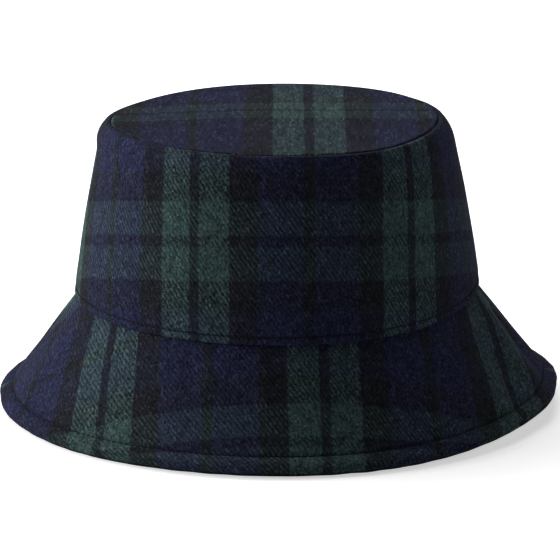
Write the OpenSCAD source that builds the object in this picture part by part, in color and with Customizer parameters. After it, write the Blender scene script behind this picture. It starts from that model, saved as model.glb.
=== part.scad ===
// Lined bucket hat in brushed wool twill, built panel by panel as it is sewn.
// Origin: centre of the oval, on the surface that the rim stands on. +Z is up and -Y is the front.
// Every ring is an oval of four tangent arcs, and one profile is turned along all of them.
// Profiles are drawn as [half width, height], with height 0 at the seam of crown and brim.

/* [Fit] */
// Head circumference that the sweatband fits
head_round = 575; // [540:5:620]
// How much longer than wide every oval ring is, front to back
longer = 18.6; // [6:0.2:30]

/* [Crown] */
// Height of the crown, from the brim seam to the top of the rolled shoulder
crown_h = 81.5; // [70:0.5:100]
// Lean of the crown wall from upright, in degrees
crown_lean = 9.6; // [5:0.2:14]
// Radius of the soft shoulder above the straight wall
shoulder_r = 20; // [12:1:28]
// How far the shoulder has turned over where it rolls into the tip seam, in degrees
shoulder_turn = 40; // [30:1:50]
// Radius of the rolled edges on both sides of the tip seam
edge_roll_r = 1.8; // [1.6:0.1:2.4]
// How far the tip stands above the rolled shoulder
tip_rise = 0.4; // [0:0.1:1.5]

/* [Brim] */
// Width of the brim along its slope
brim_w = 60; // [45:1:75]
// Fall of the brim below level, in degrees
brim_fall = 53.5; // [45:0.5:62]
// Distance of the brim's stitch line from its edge
edge_strip_w = 8; // [6:0.5:12]
// Extra height of the padded strip outside the stitch line
edge_puff = 0.3; // [0:0.1:0.8]
// Depth to which the rim's lowest edge is pressed flat where it stands
rim_press = 0.25; // [0.1:0.05:0.4]

/* [Cloth] */
// Thickness of the outer wool cloth
wool_t = 1.2; // [1:0.1:1.4]
// Thickness of the brim's stiffening interlining
stiffener_t = 0.5; // [0.3:0.1:0.9]
// Thickness of the crown's soft interlining
wadding_t = 0.8; // [0.4:0.1:1.2]
// Thickness of the satin lining
lining_t = 0.3; // [0.2:0.05:0.5]
// Gap between neighbouring plies
ply_gap = 0.1; // [0.08:0.01:0.12]
// Length of the seam allowances turned to the inside
allowance = 7; // [5:0.5:9]

/* [Sweatband] */
// Height of the sweatband
band_h = 32; // [25:1:36]
// Thickness of the sweatband
band_t = 0.8; // [0.6:0.1:1.2]
// Width of the butt joint at the back of the sweatband
band_joint = 0.6; // [0.3:0.1:1.5]

/* [Care label] */
// Width of the label, from its sewn edge to its free edge
label_w = 24; // [15:1:28]
// Height of the label
label_h = 26; // [16:1:28]
// Thickness of the folded label
label_t = 0.4; // [0.3:0.1:0.8]
// Gap between the lining and the label's sewn edge
label_clear = 0.3; // [0.25:0.05:0.5]

/* [Thread] */
// Radius of the sewing thread
thread_r = 0.25; // [0.2:0.05:0.3]
// Gap between a thread and the cloth that it lies on
thread_clear = 0.05; // [0.04:0.01:0.08]
// Depth to which a row of stitches pulls into the cloth
stitch_sink = 0.5; // [0.4:0.05:0.6]
// Height of the edge stitching above the crown's lower edge
edge_stitch_h = 3.6; // [3.2:0.1:6]
// Height of the sweatband's stitching above its lower edge
band_stitch_h = 3; // [2:0.5:6]

/* [Hidden] */
$fn = 96;

// Colours of the cloths
wool_green = "#25433f";
wool_navy = "#26284a";
satin_navy = "#1b2038";
band_black = "#15161c";
stiffener_grey = "#8d8f94";
label_white = "#e4e4e0";
thread_dark = "#1c1e24";

// Number of straight steps in an arc of a profile, and of sides of a thread
arc_steps = 6;
thread_sides = 8;

// Half width of the dip that a row of stitches pulls into the cloth
dip_half = 1.2;

// Width of the ring that makes the edge of a flat panel
edge_ring_w = 12;

// Level depths below the crown wall's outer face of the plies stacked above the brim seam
hem_depth = level(2 * wool_t);
upper_depth = hem_depth + level(ply_gap);
under_depth = upper_depth + level(wool_t + ply_gap);
lining_depth = under_depth + level(wool_t + ply_gap);
stack_depth = lining_depth + level(lining_t + ply_gap + band_t);

// Oval: the side arcs' centres lie across the middle and the end arcs' on their own side. The arcs
// join, without a corner, where a line that rises 3 in 4 passes through both centres.
side_turn = atan2(3, 4);
end_turn = 90 - side_turn;
side_shift = longer;
end_shift = 0.75 * longer;

// Half width of the crown at the brim seam, from the head that the band fits
head_half_w = (head_round / 4 * 180 / PI - side_turn * side_shift
    - end_turn * (longer / 2 - end_shift)) / 90;
crown_half_w = head_half_w + stack_depth;
side_r = crown_half_w + side_shift;

// Overlap of the two parts of an arc that meet at its middle, in degrees
overrun = 1;

// Crown hem: the wall is folded up inside about this centre, and the brim comes out below it
hem_h = allowance + 2 * wool_t;
fold_centre = wall(wool_t, level(wool_t));

// Brim section: s runs down the slope from below the crown's fold, n stands square to it
along = [cos(brim_fall), -sin(brim_fall)];
square_to = [sin(brim_fall), cos(brim_fall)];
ply_in = stiffener_t / 2 + ply_gap;
ply_out = ply_in + wool_t;
brim_origin = fold_centre - (wool_t + ply_gap + ply_out) * square_to;

// Folded edges of the two brim plies, with the stitched strip inside them
strip_out = 2 * wool_t + ply_gap / 2 + edge_puff;
bead_r = (strip_out - ply_gap / 2) / 2;
bead_s = brim_w - bead_r;
stitch_s = brim_w - edge_strip_w;
crease_s = bead_s + sqrt(pow(bead_r + thread_r + thread_clear, 2) - pow(bead_r + ply_gap / 2, 2));

// Height of the brim seam above the surface that the pressed rim stands on
seam_h = bead_r - rim_press - brim(bead_s, -ply_gap / 2 - bead_r).y;

// Shoulder and tip seam, from the crown's height
wall_top_h = crown_h + shoulder_r * sin(crown_lean)
    - (shoulder_r - edge_roll_r) * sin(shoulder_turn) - edge_roll_r;
shoulder_centre = wall(wall_top_h, 0) - shoulder_r * ray(crown_lean);
roll_centre = shoulder_centre + (shoulder_r - edge_roll_r) * ray(shoulder_turn);
tip_edge_r = roll_centre.x - edge_roll_r - ply_gap;
tip_h = crown_h + tip_rise;
tip_roll_centre = [tip_edge_r - edge_roll_r, tip_h - edge_roll_r];
flange_h = roll_centre.y - allowance;

// Lining: a plain cone that just clears the foot of the tip's allowance and ends a little above it
inner_crease = meet(under_depth + level(wool_t), -ply_out);
band_foot_h = inner_crease.y + 2 * ply_gap;
lining_foot = wall(band_foot_h, lining_depth);
lining_pass = [tip_edge_r - wool_t - 2 * ply_gap, flange_h];
lining_lean = atan((lining_foot.x - lining_pass.x) / (lining_pass.y - lining_foot.y));
lining_rise = allowance / 3;
lining_top = lining_pass + lining_rise * [-tan(lining_lean), 1];
band_depth = (lining_t + ply_gap) / cos(lining_lean);
band_inner_depth = band_depth + band_t / cos(lining_lean);

// Angles about the arcs' centres: half a side seam's gap, its allowance, half the band's joint
half_gap = ply_gap / 2 / side_r * 180 / PI;
flap_turn = allowance / side_r * 180 / PI;
joint_turn = band_joint / 2 / (head_half_w + longer / 2 - end_shift) * 180 / PI;

// Care label: its sewn edge lies on the lining's left seam, above the sweatband
label_foot_h = band_foot_h + band_h + allowance / 2;
label_hinge = lined(label_foot_h, lining_t / cos(lining_lean) + label_clear + label_t / 2);
label_rest = atan(label_w / (2 * (lining_top.x + side_shift))) + 1.5;

// Unit vector at angle a
function ray(a) = [cos(a), sin(a)];

// Points of an arc about c, from angle a to angle b
function arc(c, r, a, b) = [for (i = [0:arc_steps]) c + r * ray(a + (b - a) * i / arc_steps)];

// Level width of a ply of thickness t in the leaning wall
function level(t) = t / cos(crown_lean);

// Point of the crown wall at height h, a level depth below its outer face
function wall(h, depth) = [crown_half_w - depth - h * tan(crown_lean), h];

// Point of the lining's cone at height h, a level depth below its outer face
function lined(h, depth) = [lining_foot.x - depth - (h - lining_foot.y) * tan(lining_lean), h];

// Point of the brim section at s and n
function brim(s, n) = brim_origin + s * along + n * square_to;

// Where the wall's layer at that depth meets the brim's layer at n
function meet(depth, n) =
    let (start = brim(0, n))
    let (run = wall(start.y, depth).x - start.x)
    brim(run / (cos(brim_fall) - tan(crown_lean) * sin(brim_fall)), n);

// Dip that a row of stitches pulls: [place, fall below the face], at places around 0
function dip() = [
    for (step = [[-1, 0], [-0.5, 0.55], [-0.2, 1], [0.2, 1], [0.5, 0.55], [1, 0]])
        [dip_half * step[0], stitch_sink * step[1]]
];

// What is made on the right is made on the left too, and what is made in front, at the back too
module both_sides() {
    children();
    mirror([1, 0, 0]) children();
}

module both_ends() {
    children();
    mirror([0, 1, 0]) children();
}

// The profile turned along the front part of the right side arc, to this angle from the middle
module turn_side(to) {
    translate([-side_shift, 0, 0])
        rotate([0, 0, -side_turn])
            rotate_extrude(angle = side_turn + to)
                translate([side_shift, 0])
                    children();
}

// The profile turned along the left part of the front arc, to this angle from the middle
module turn_end(to) {
    translate([0, -end_shift, 0])
        rotate([0, 0, side_turn - 180])
            rotate_extrude(angle = end_turn + to)
                translate([longer / 2 - end_shift, 0])
                    children();
}

// A whole ring of the profile, lifted to the brim seam
module ring() {
    translate([0, 0, seam_h])
        both_ends()
            both_sides() {
                turn_side(overrun) children();
                turn_end(overrun) children();
            }
}

// The front and the back half of such a ring, each ending that many degrees from the side seams
module front_half(inset = half_gap) {
    translate([0, 0, seam_h])
        both_sides() {
            turn_side(-inset) children();
            turn_end(overrun) children();
        }
}

module back_half(inset = half_gap) {
    mirror([0, 1, 0]) front_half(inset) children();
}

module thread_ring(centre) {
    color(thread_dark)
        ring()
            translate(centre)
                circle(r = thread_r, $fn = thread_sides);
}

// Straight-sided middle of a flat panel, which ends inside the ring that makes the panel's edge
module panel_middle(half_w, low, high) {
    translate([0, 0, seam_h])
        translate([0, 0, low])
            linear_extrude(high - low)
                polygon([
                    for (turn = [0:22.5:359])
                        [half_w * cos(turn), (half_w + longer / 2) * sin(turn)]
                ]);
}

// Flat oval panel
module flat_panel(half_w, low, high) {
    union() {
        ring()
            translate([half_w - edge_ring_w, low])
                square([edge_ring_w, high - low]);
        panel_middle(half_w - edge_ring_w / 2, low, high);
    }
}

// Cuts the lowest edge of the rim off level, where it stands
module pressed_flat() {
    reach = 2 * (crown_half_w + brim_w) + longer;
    difference() {
        children();
        translate([-reach / 2, -reach / 2, -4 * rim_press])
            cube([reach, reach, 4 * rim_press]);
    }
}

// Crown wall: folded hem, stitched edge, straight wall, shoulder and the roll into the tip seam
function side_crown_points() = concat(
    arc(fold_centre, wool_t, 180 + crown_lean, 360 + crown_lean),
    [for (p = dip()) wall(edge_stitch_h + p[0], level(p[1]))],
    arc(shoulder_centre, shoulder_r, crown_lean, shoulder_turn),
    arc(roll_centre, edge_roll_r, shoulder_turn, 180),
    [[roll_centre.x - edge_roll_r, flange_h], [roll_centre.x - edge_roll_r + wool_t, flange_h]],
    arc(roll_centre, edge_roll_r - wool_t, 180, shoulder_turn),
    arc(shoulder_centre, shoulder_r - wool_t, shoulder_turn, crown_lean),
    [wall(hem_h, level(wool_t)), wall(hem_h, hem_depth)]
);

// Allowance of a side seam, pressed open against the inside of its own panel, above the hem
function side_flap_points() =
    let (low = hem_h - wool_t)
    let (high = wall_top_h - wool_t)
    let (depth = hem_depth - ply_gap)
    [
        wall(low, level(wool_t / 2)), wall(high, level(wool_t / 2)),
        wall(high, depth), wall(low, depth)
    ];

// The two allowances of a front half, just short of its ends
module side_flaps() {
    translate([0, 0, seam_h])
        both_sides()
            translate([-side_shift, 0, 0])
                rotate([0, 0, -flap_turn])
                    rotate_extrude(angle = flap_turn - 2 * half_gap)
                        translate([side_shift, 0])
                            polygon(side_flap_points());
}

// Half of the crown wall, with the allowances of its side seams
module half_crown() {
    union() {
        front_half() polygon(side_crown_points());
        side_flaps();
    }
}

module side_crown_front() {
    color(wool_green) half_crown();
}

module side_crown_back() {
    color(wool_green) mirror([0, 1, 0]) half_crown();
}

// Edge of the top panel, rolled down into the seam with its allowance hanging inside
function tip_edge_points() = concat(
    [[tip_roll_centre.x - edge_ring_w, tip_h], [tip_roll_centre.x - edge_ring_w, tip_h - wool_t]],
    arc(tip_roll_centre, edge_roll_r - wool_t, 90, 0),
    [[tip_edge_r - wool_t, flange_h], [tip_edge_r, flange_h]],
    arc(tip_roll_centre, edge_roll_r, 0, 90)
);

module crown_tip() {
    color(wool_navy)
        union() {
            ring() polygon(tip_edge_points());
            panel_middle(tip_roll_centre.x - edge_ring_w / 2, tip_h - wool_t, tip_h);
        }
}

// Outer face of a brim ply: the stitched dip and the padded strip, on side 1 (up) or -1 (down)
function brim_face_points(side) = concat(
    [for (p = dip()) brim(stitch_s + p[0], side * (ply_out - p[1]))],
    [brim(stitch_s + 2 * dip_half, side * (strip_out - edge_puff / 2))],
    [brim(stitch_s + 3 * dip_half, side * strip_out)]
);

// Inner face of a brim ply, from the folded edge back to the interlining
function brim_lap_points(side) = [
    brim(stitch_s + dip_half, side * ply_gap / 2),
    brim(stitch_s + dip_half / 2, side * ply_in)
];

// Top ply: allowance up inside the crown, outer face, folded edge, inner face
function brim_upper_points() = concat(
    [wall(hem_h, upper_depth), meet(upper_depth, ply_out)],
    brim_face_points(1),
    arc(brim(bead_s, ply_gap / 2 + bead_r), bead_r, 90 - brim_fall, -90 - brim_fall),
    brim_lap_points(1),
    [meet(upper_depth + level(wool_t), ply_in), wall(hem_h, upper_depth + level(wool_t))]
);

// Bottom ply: the same the other way up, with its allowance inside the top ply's
function brim_under_points() = concat(
    [wall(hem_h, under_depth + level(wool_t)), inner_crease],
    brim_face_points(-1),
    arc(brim(bead_s, -ply_gap / 2 - bead_r), bead_r, -90 - brim_fall, 90 - brim_fall),
    brim_lap_points(-1),
    [meet(under_depth, -ply_in), wall(hem_h, under_depth)]
);

module brim_upper_front() {
    color(wool_green) front_half() polygon(brim_upper_points());
}

module brim_upper_back() {
    color(wool_green) back_half() polygon(brim_upper_points());
}

module brim_under_front() {
    color(wool_navy) pressed_flat() front_half() polygon(brim_under_points());
}

module brim_under_back() {
    color(wool_navy) pressed_flat() back_half() polygon(brim_under_points());
}

module brim_interlining() {
    half_t = stiffener_t / 2;
    start_s = 2 * wool_t;
    color(stiffener_grey)
        ring()
            polygon([
                brim(start_s, half_t), brim(stitch_s, half_t),
                brim(stitch_s, -half_t), brim(start_s, -half_t)
            ]);
}

module tip_interlining() {
    top = tip_h - wool_t - ply_gap;
    color(stiffener_grey) flat_panel(tip_roll_centre.x - wool_t, top - wadding_t, top);
}

// Soft backing of the wall, from above the hem to part of the way over the shoulder
function side_interlining_points() =
    let (outer_r = shoulder_r - wool_t - ply_gap)
    let (inner_r = outer_r - wadding_t)
    let (end_turn = shoulder_turn * 0.8)
    concat(
        [wall(hem_h + ply_gap, level(wool_t + ply_gap))],
        arc(shoulder_centre, outer_r, crown_lean, end_turn),
        arc(shoulder_centre, inner_r, end_turn, crown_lean),
        [wall(hem_h + ply_gap, level(wool_t + ply_gap + wadding_t))]
    );

module side_interlining_front() {
    color(stiffener_grey) front_half(flap_turn) polygon(side_interlining_points());
}

module side_interlining_back() {
    color(stiffener_grey) back_half(flap_turn) polygon(side_interlining_points());
}

module lining_tip() {
    under = lining_top.y + ply_gap;
    color(satin_navy) flat_panel(lining_top.x, under, under + lining_t);
}

function lining_side_points() =
    let (depth = lining_t / cos(lining_lean))
    [lining_foot, lining_top, lined(lining_top.y, depth), lined(lining_foot.y, depth)];

module lining_side_front() {
    color(satin_navy) front_half() polygon(lining_side_points());
}

module lining_side_back() {
    color(satin_navy) back_half() polygon(lining_side_points());
}

function sweatband_points() =
    let (top_h = band_foot_h + band_h * cos(lining_lean))
    [
        lined(band_foot_h, band_depth), lined(top_h, band_depth),
        lined(top_h, band_inner_depth), lined(band_foot_h, band_inner_depth)
    ];

// Band that lies on the head, open at the back by its butt joint
module sweatband() {
    color(band_black)
        union() {
            front_half(-overrun) polygon(sweatband_points());
            translate([0, 0, seam_h])
                mirror([0, 1, 0])
                    both_sides() {
                        turn_side(overrun) polygon(sweatband_points());
                        turn_end(-joint_turn) polygon(sweatband_points());
                    }
        }
}

// Folded label that turns about its sewn edge, lying back along the lining at rest
module care_label() {
    color(label_white)
        translate([-label_hinge.x, 0, seam_h + label_hinge.y])
            rotate([0, lining_lean, 0])
                rotate([0, 0, -label_rest])
                    translate([-label_t / 2, 0, 0])
                        cube([label_t, label_w, label_h]);
}

module tip_seam_thread() {
    thread_ring([tip_edge_r - wool_t - thread_clear - thread_r, flange_h + 0.7 * allowance]);
}

module brim_seam_thread() {
    thread_ring(inner_crease + 3 * thread_r * along - (thread_r + thread_clear) * square_to);
}

module crown_edge_topstitch() {
    thread_ring(wall(edge_stitch_h, level(stitch_sink - thread_r - thread_clear)));
}

module rim_seam_thread() {
    thread_ring(brim(crease_s, 0));
}

module brim_topstitch_upper() {
    thread_ring(brim(stitch_s, ply_out - stitch_sink + thread_r + thread_clear));
}

module brim_topstitch_under() {
    thread_ring(brim(stitch_s, -ply_out + stitch_sink - thread_r - thread_clear));
}

module sweatband_topstitch() {
    thread_ring(lined(band_foot_h + band_stitch_h, band_inner_depth + thread_r + thread_clear));
}

module lining_seam_thread() {
    thread_ring(lined(lining_top.y - 2 * thread_r, lining_t + thread_r + 2 * thread_clear));
}

crown_tip();
side_crown_front();
side_crown_back();
brim_upper_front();
brim_upper_back();
brim_under_front();
brim_under_back();
brim_interlining();
tip_interlining();
side_interlining_front();
side_interlining_back();
lining_tip();
lining_side_front();
lining_side_back();
sweatband();
care_label();
tip_seam_thread();
brim_seam_thread();
crown_edge_topstitch();
rim_seam_thread();
brim_topstitch_upper();
brim_topstitch_under();
sweatband_topstitch();
lining_seam_thread();
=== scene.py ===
"""Lined bucket hat in brushed wool check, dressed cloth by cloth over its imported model.

Sizes are in millimetres, as a pattern cutter writes them, and become metres where a mesh is made.
A place on the hat is given by a turn about the oval, where 0 is the right side and -90 degrees the
front, and by a point of the section: half width and height above the seam of crown and brim.
"""

import logging
import math
from dataclasses import dataclass
from enum import Enum
from functools import partial
from typing import Callable, Iterable, Sequence

import bmesh
import bpy
import numpy as np
from mathutils import Matrix, Vector


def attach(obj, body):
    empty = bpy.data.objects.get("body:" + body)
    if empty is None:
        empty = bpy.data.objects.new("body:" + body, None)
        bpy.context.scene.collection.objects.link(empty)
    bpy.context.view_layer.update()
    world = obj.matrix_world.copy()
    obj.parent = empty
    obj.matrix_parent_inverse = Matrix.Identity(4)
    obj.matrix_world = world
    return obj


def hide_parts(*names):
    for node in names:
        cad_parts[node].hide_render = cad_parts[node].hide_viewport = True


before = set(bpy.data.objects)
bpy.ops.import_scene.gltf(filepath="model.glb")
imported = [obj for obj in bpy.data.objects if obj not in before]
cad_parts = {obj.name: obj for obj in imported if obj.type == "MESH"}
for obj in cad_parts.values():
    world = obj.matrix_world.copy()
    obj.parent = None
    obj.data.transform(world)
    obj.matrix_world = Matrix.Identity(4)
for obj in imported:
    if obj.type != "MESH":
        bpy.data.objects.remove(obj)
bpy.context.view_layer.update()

logging.basicConfig(level=logging.INFO, format="%(name)s: %(message)s")
LOG = logging.getLogger("bucket_hat")

Array = np.ndarray
Point = tuple[float, float]
Colour = tuple[float, float, float]
Object = bpy.types.Object
Material = bpy.types.Material
Node = bpy.types.Node
Socket = bpy.types.NodeSocket

MM = 0.001
TOUCH = 1e-6
"""Points this close together, in mm, are one."""
AS_DRAWN = 9.0
"""Longest step of a stretch, in mm, that leaves its points as they are drawn."""
PRESSED = 0.55
"""Fullness of a pressed fold's corner, where 1 is a plain arc."""
CLOTH_UV = "Cloth"
FACE_UP = "face_up"
WHITE = (1.0, 1.0, 1.0, 1.0)


class Half(Enum):
    """Half of the hat, named by its side of the side seams."""

    FRONT = -1
    BACK = 1

    @property
    def label(self) -> str:
        """The half's name, as pieces carry it."""
        return self.name.lower()


class Ply(Enum):
    """Ply of the brim: the top one faces up and the base one down."""

    TOP = 1
    BASE = -1


def cos(angle: float) -> float:
    """Cosine of an angle in degrees."""
    return math.cos(math.radians(angle))


def sin(angle: float) -> float:
    """Sine of an angle in degrees."""
    return math.sin(math.radians(angle))


def tan(angle: float) -> float:
    """Tangent of an angle in degrees."""
    return math.tan(math.radians(angle))


def arc(
    centre: Point, radius: float, start: float, end: float, steps: int = 8, power: float = 1.0
) -> list[Point]:
    """Points of an arc in the section plane.

    Args:
        centre: Centre of the arc.
        radius: Its radius.
        start: First angle, in degrees.
        end: Last angle, in degrees.
        steps: Number of straight steps.
        power: Fullness of its corner, where 1 is a plain arc and less is fuller.

    Returns:
        The points from start to end, both included.
    """
    points = []
    for i in range(steps + 1):
        angle = start + (end - start) * i / steps
        x, y = (math.copysign(abs(part) ** power, part) for part in (cos(angle), sin(angle)))
        points.append((centre[0] + radius * x, centre[1] + radius * y))
    return points


def level_edge(value: Array, low: float, high: float) -> Array:
    """Smooth step of an array from 0 at low to 1 at high."""
    t = np.clip((value - low) / (high - low), 0, 1)
    return t * t * (3 - 2 * t)


def near(turn: Array, centre: Array | float, width: Array | float) -> Array:
    """Bell of height 1 about a turn, with its centre and half width in degrees."""
    away = np.degrees(turn) - centre
    return np.exp(-((((away + 180) % 360 - 180) / width) ** 2))


def bell(place: float) -> float:
    """Depth of a stitched dip at a place from -1 to 1 about its middle."""
    return 0.5 + 0.5 * math.cos(math.pi * max(-1.0, min(1.0, place)))


@dataclass(frozen=True)
class Oval:
    """Family of parallel ovals of four tangent arcs, on which every ring of the hat lies."""

    longer: float = 18.6

    @property
    def end_shift(self) -> float:
        """Distance of the end arcs' centres from the middle."""
        return 0.75 * self.longer

    @staticmethod
    def at_side(turn: Array) -> Array:
        """Whether a turn lies on a side arc, which meets the end arcs at a slope of 3 to 4."""
        return np.abs(np.cos(turn)) >= 0.8

    def reach(self, turn: Array) -> Array:
        """What is added to a half width to make the arc's radius at that turn."""
        return np.where(self.at_side(turn), self.longer, self.longer / 2 - self.end_shift)

    def place(self, turn: Array, half_w: Array, height: Array) -> Array:
        """Points of the hat from turns and points of the section.

        Args:
            turn: Turn about the oval, in radians.
            half_w: Half width of the ring through the point.
            height: Height of the point.

        Returns:
            The points, with x, y and z on the last axis.
        """
        c, s = np.cos(turn), np.sin(turn)
        side = self.at_side(turn)
        centre_x = np.where(side, -np.sign(c) * self.longer, 0.0)
        centre_y = np.where(side, 0.0, np.sign(s) * self.end_shift)
        radius = half_w + self.reach(turn)
        return np.stack([centre_x + radius * c, centre_y + radius * s, height + 0 * radius], -1)


@dataclass(frozen=True)
class HatSizes:
    """Sizes of the cut and sewn hat, and the section that follows from them."""

    head_round: float = 575
    longer: float = 18.6
    crown_h: float = 81.5
    crown_lean: float = 9.6
    shoulder_r: float = 20
    shoulder_turn: float = 40
    edge_roll_r: float = 1.8
    tip_rise: float = 0.4
    brim_w: float = 60
    brim_fall: float = 53.5
    edge_strip_w: float = 8
    edge_puff: float = 0.3
    rim_press: float = 0.25
    wool_t: float = 1.2
    stiffener_t: float = 0.5
    wadding_t: float = 0.8
    lining_t: float = 0.3
    ply_gap: float = 0.1
    allowance: float = 7
    band_h: float = 32
    band_t: float = 0.8
    band_joint: float = 0.6
    label_w: float = 24
    label_h: float = 26
    label_t: float = 0.4
    label_clear: float = 0.3
    thread_r: float = 0.25
    stitch_sink: float = 0.5
    edge_stitch_h: float = 3.6
    band_stitch_h: float = 3

    def level(self, thickness: float) -> float:
        """Level width of a ply of that thickness in the leaning wall."""
        return thickness / cos(self.crown_lean)

    @property
    def oval(self) -> Oval:
        """The oval of every ring."""
        return Oval(self.longer)

    @property
    def hem_depth(self) -> float:
        """Depth of the folded hem."""
        return self.level(2 * self.wool_t)

    @property
    def upper_depth(self) -> float:
        """Depth at which the top ply's allowance starts."""
        return self.hem_depth + self.level(self.ply_gap)

    @property
    def under_depth(self) -> float:
        """Depth at which the base ply's allowance starts."""
        return self.upper_depth + self.level(self.wool_t + self.ply_gap)

    @property
    def lining_depth(self) -> float:
        """Depth at which the lining starts."""
        return self.under_depth + self.level(self.wool_t + self.ply_gap)

    @property
    def half_w(self) -> float:
        """Half width of the crown at the brim seam.

        Returns:
            The half width that lets a head of the given girth in.
        """
        side = math.degrees(math.atan2(3, 4))
        end = 90 - side
        arcs = side * self.longer + end * (self.longer / 2 - self.oval.end_shift)
        head = (self.head_round / 4 * 180 / math.pi - arcs) / 90
        return head + self.lining_depth + self.level(self.lining_t + self.ply_gap + self.band_t)

    def wall(self, height: float, depth: float) -> Point:
        """Point of the crown wall, a level depth below its outer face."""
        return (self.half_w - depth - height * tan(self.crown_lean), height)

    @property
    def ply_in(self) -> float:
        """Distance of a brim ply's inner face from the brim's middle."""
        return self.stiffener_t / 2 + self.ply_gap

    @property
    def ply_out(self) -> float:
        """Distance of a brim ply's outer face from the brim's middle."""
        return self.ply_in + self.wool_t

    @property
    def brim_origin(self) -> Point:
        """Start of the brim's middle, below the fold of the crown's hem.

        Returns:
            The point of the section.
        """
        t = self.wool_t
        (x, h), drop = self.wall(t, self.level(t)), t + self.ply_gap + self.ply_out
        return (x - drop * sin(self.brim_fall), h - drop * cos(self.brim_fall))

    def brim(self, run: float, off: float) -> Point:
        """Point of the brim section, at a run down its slope and square off its middle."""
        (x, h), c, s = self.brim_origin, cos(self.brim_fall), sin(self.brim_fall)
        return (x + run * c + off * s, h - run * s + off * c)

    def meet(self, depth: float, off: float) -> Point:
        """Point where the wall's layer at a depth meets the brim's layer at off.

        Args:
            depth: Level depth of the wall's layer below its outer face.
            off: Distance of the brim's layer from its middle.

        Returns:
            The point of the section.
        """
        start = self.brim(0, off)
        run = self.wall(start[1], depth)[0] - start[0]
        return self.brim(run / (cos(self.brim_fall) - tan(self.crown_lean) * sin(self.brim_fall)), off)

    @property
    def strip_out(self) -> float:
        """Distance of the padded strip's face from the brim's middle."""
        return 2 * self.wool_t + self.ply_gap / 2 + self.edge_puff

    @property
    def bead_r(self) -> float:
        """Radius of a ply's folded edge."""
        return (self.strip_out - self.ply_gap / 2) / 2

    @property
    def bead_run(self) -> float:
        """Run of the folded edge's centre."""
        return self.brim_w - self.bead_r

    @property
    def stitch_run(self) -> float:
        """Run of the brim's stitch line."""
        return self.brim_w - self.edge_strip_w

    @property
    def seam_h(self) -> float:
        """Height of the brim seam above the floor."""
        return self.bead_r - self.rim_press - self.brim(self.bead_run, -self.ply_gap / 2 - self.bead_r)[1]

    @property
    def wall_top_h(self) -> float:
        """Height at which the straight wall turns into the shoulder."""
        spare = (self.shoulder_r - self.edge_roll_r) * sin(self.shoulder_turn)
        return self.crown_h + self.shoulder_r * sin(self.crown_lean) - spare - self.edge_roll_r

    @property
    def shoulder_centre(self) -> Point:
        """Centre of the rounded shoulder."""
        x, h = self.wall(self.wall_top_h, 0)
        return (x - self.shoulder_r * cos(self.crown_lean), h - self.shoulder_r * sin(self.crown_lean))

    @property
    def roll_centre(self) -> Point:
        """Centre of the wall's roll into the tip seam."""
        (x, h), run = self.shoulder_centre, self.shoulder_r - self.edge_roll_r
        return (x + run * cos(self.shoulder_turn), h + run * sin(self.shoulder_turn))

    @property
    def tip_edge_w(self) -> float:
        """Half width of the tip panel at its seam."""
        return self.roll_centre[0] - self.edge_roll_r - self.ply_gap

    @property
    def tip_h(self) -> float:
        """Height of the tip."""
        return self.crown_h + self.tip_rise

    @property
    def flange_h(self) -> float:
        """Height of the lower edge of the tip's allowance."""
        return self.roll_centre[1] - self.allowance

    @property
    def crease(self) -> Point:
        """Inner crease, where the brim's base ply turns up inside the crown."""
        return self.meet(self.under_depth + self.level(self.wool_t), -self.ply_out)

    @property
    def lining_foot(self) -> Point:
        """Foot of the lining's outer face."""
        return self.wall(self.crease[1] + 2 * self.ply_gap, self.lining_depth)

    @property
    def lining_lean(self) -> float:
        """Lean of the lining from upright, in degrees."""
        (x, h), clear = self.lining_foot, self.tip_edge_w - self.wool_t - 2 * self.ply_gap
        return math.degrees(math.atan((x - clear) / (self.flange_h - h)))

    @property
    def lining_top_h(self) -> float:
        """Height of the lining's top."""
        return self.flange_h + self.allowance / 3

    @property
    def hem_top(self) -> float:
        """Height of the top of the crown's folded hem."""
        return self.allowance + 2 * self.wool_t

    @property
    def band_top(self) -> float:
        """Height of the sweatband's upper edge."""
        return self.lining_foot[1] + self.band_h * cos(self.lining_lean)

    def lined(self, height: float, depth: float) -> Point:
        """Point of the lining's cone, a level depth inside its outer face."""
        foot = self.lining_foot
        return (foot[0] - depth - (height - foot[1]) * tan(self.lining_lean), height)


@dataclass(frozen=True)
class Waves:
    """Smooth unevenness made of a few seeded waves, closed about the oval."""

    seed: int
    low_turns: int
    high_turns: int
    run_length: float
    count: int = 9

    def at(self, turn: Array, run: Array) -> Array:
        """Height of the waves, about -1 to 1, at turns and runs.

        Args:
            turn: Turn about the oval, in radians.
            run: Run of the outline, or a height, in mm.

        Returns:
            The heights.
        """
        rng = np.random.default_rng(self.seed)
        total = np.zeros(np.broadcast(turn, run).shape)
        for _ in range(self.count):
            n = int(rng.integers(self.low_turns, self.high_turns + 1))
            m = rng.uniform(-1, 1) * 2 * math.pi / self.run_length
            total = total + rng.uniform(0.5, 1) * np.sin(n * turn + m * run + rng.uniform(0, 2 * math.pi))
        return total / math.sqrt(self.count)

    def scaled(self, height: float, turn: Array, run: Array) -> Array:
        """The waves at a given height."""
        return height * self.at(turn, run)


@dataclass(frozen=True)
class Fold:
    """One soft fold or dent: where it lies, how far it drifts down the brim and how wide it is.

    These are in degrees of turn. Its size is a height in mm, or a share of the folds' depth.
    """

    turn: float
    drift: float
    width: float
    size: float

    def at(self, turn: Array, fall: Array) -> Array:
        """Height of the fold at turns, a share of the way down the brim."""
        return self.size * near(turn, self.turn + self.drift * fall, self.width)


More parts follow.
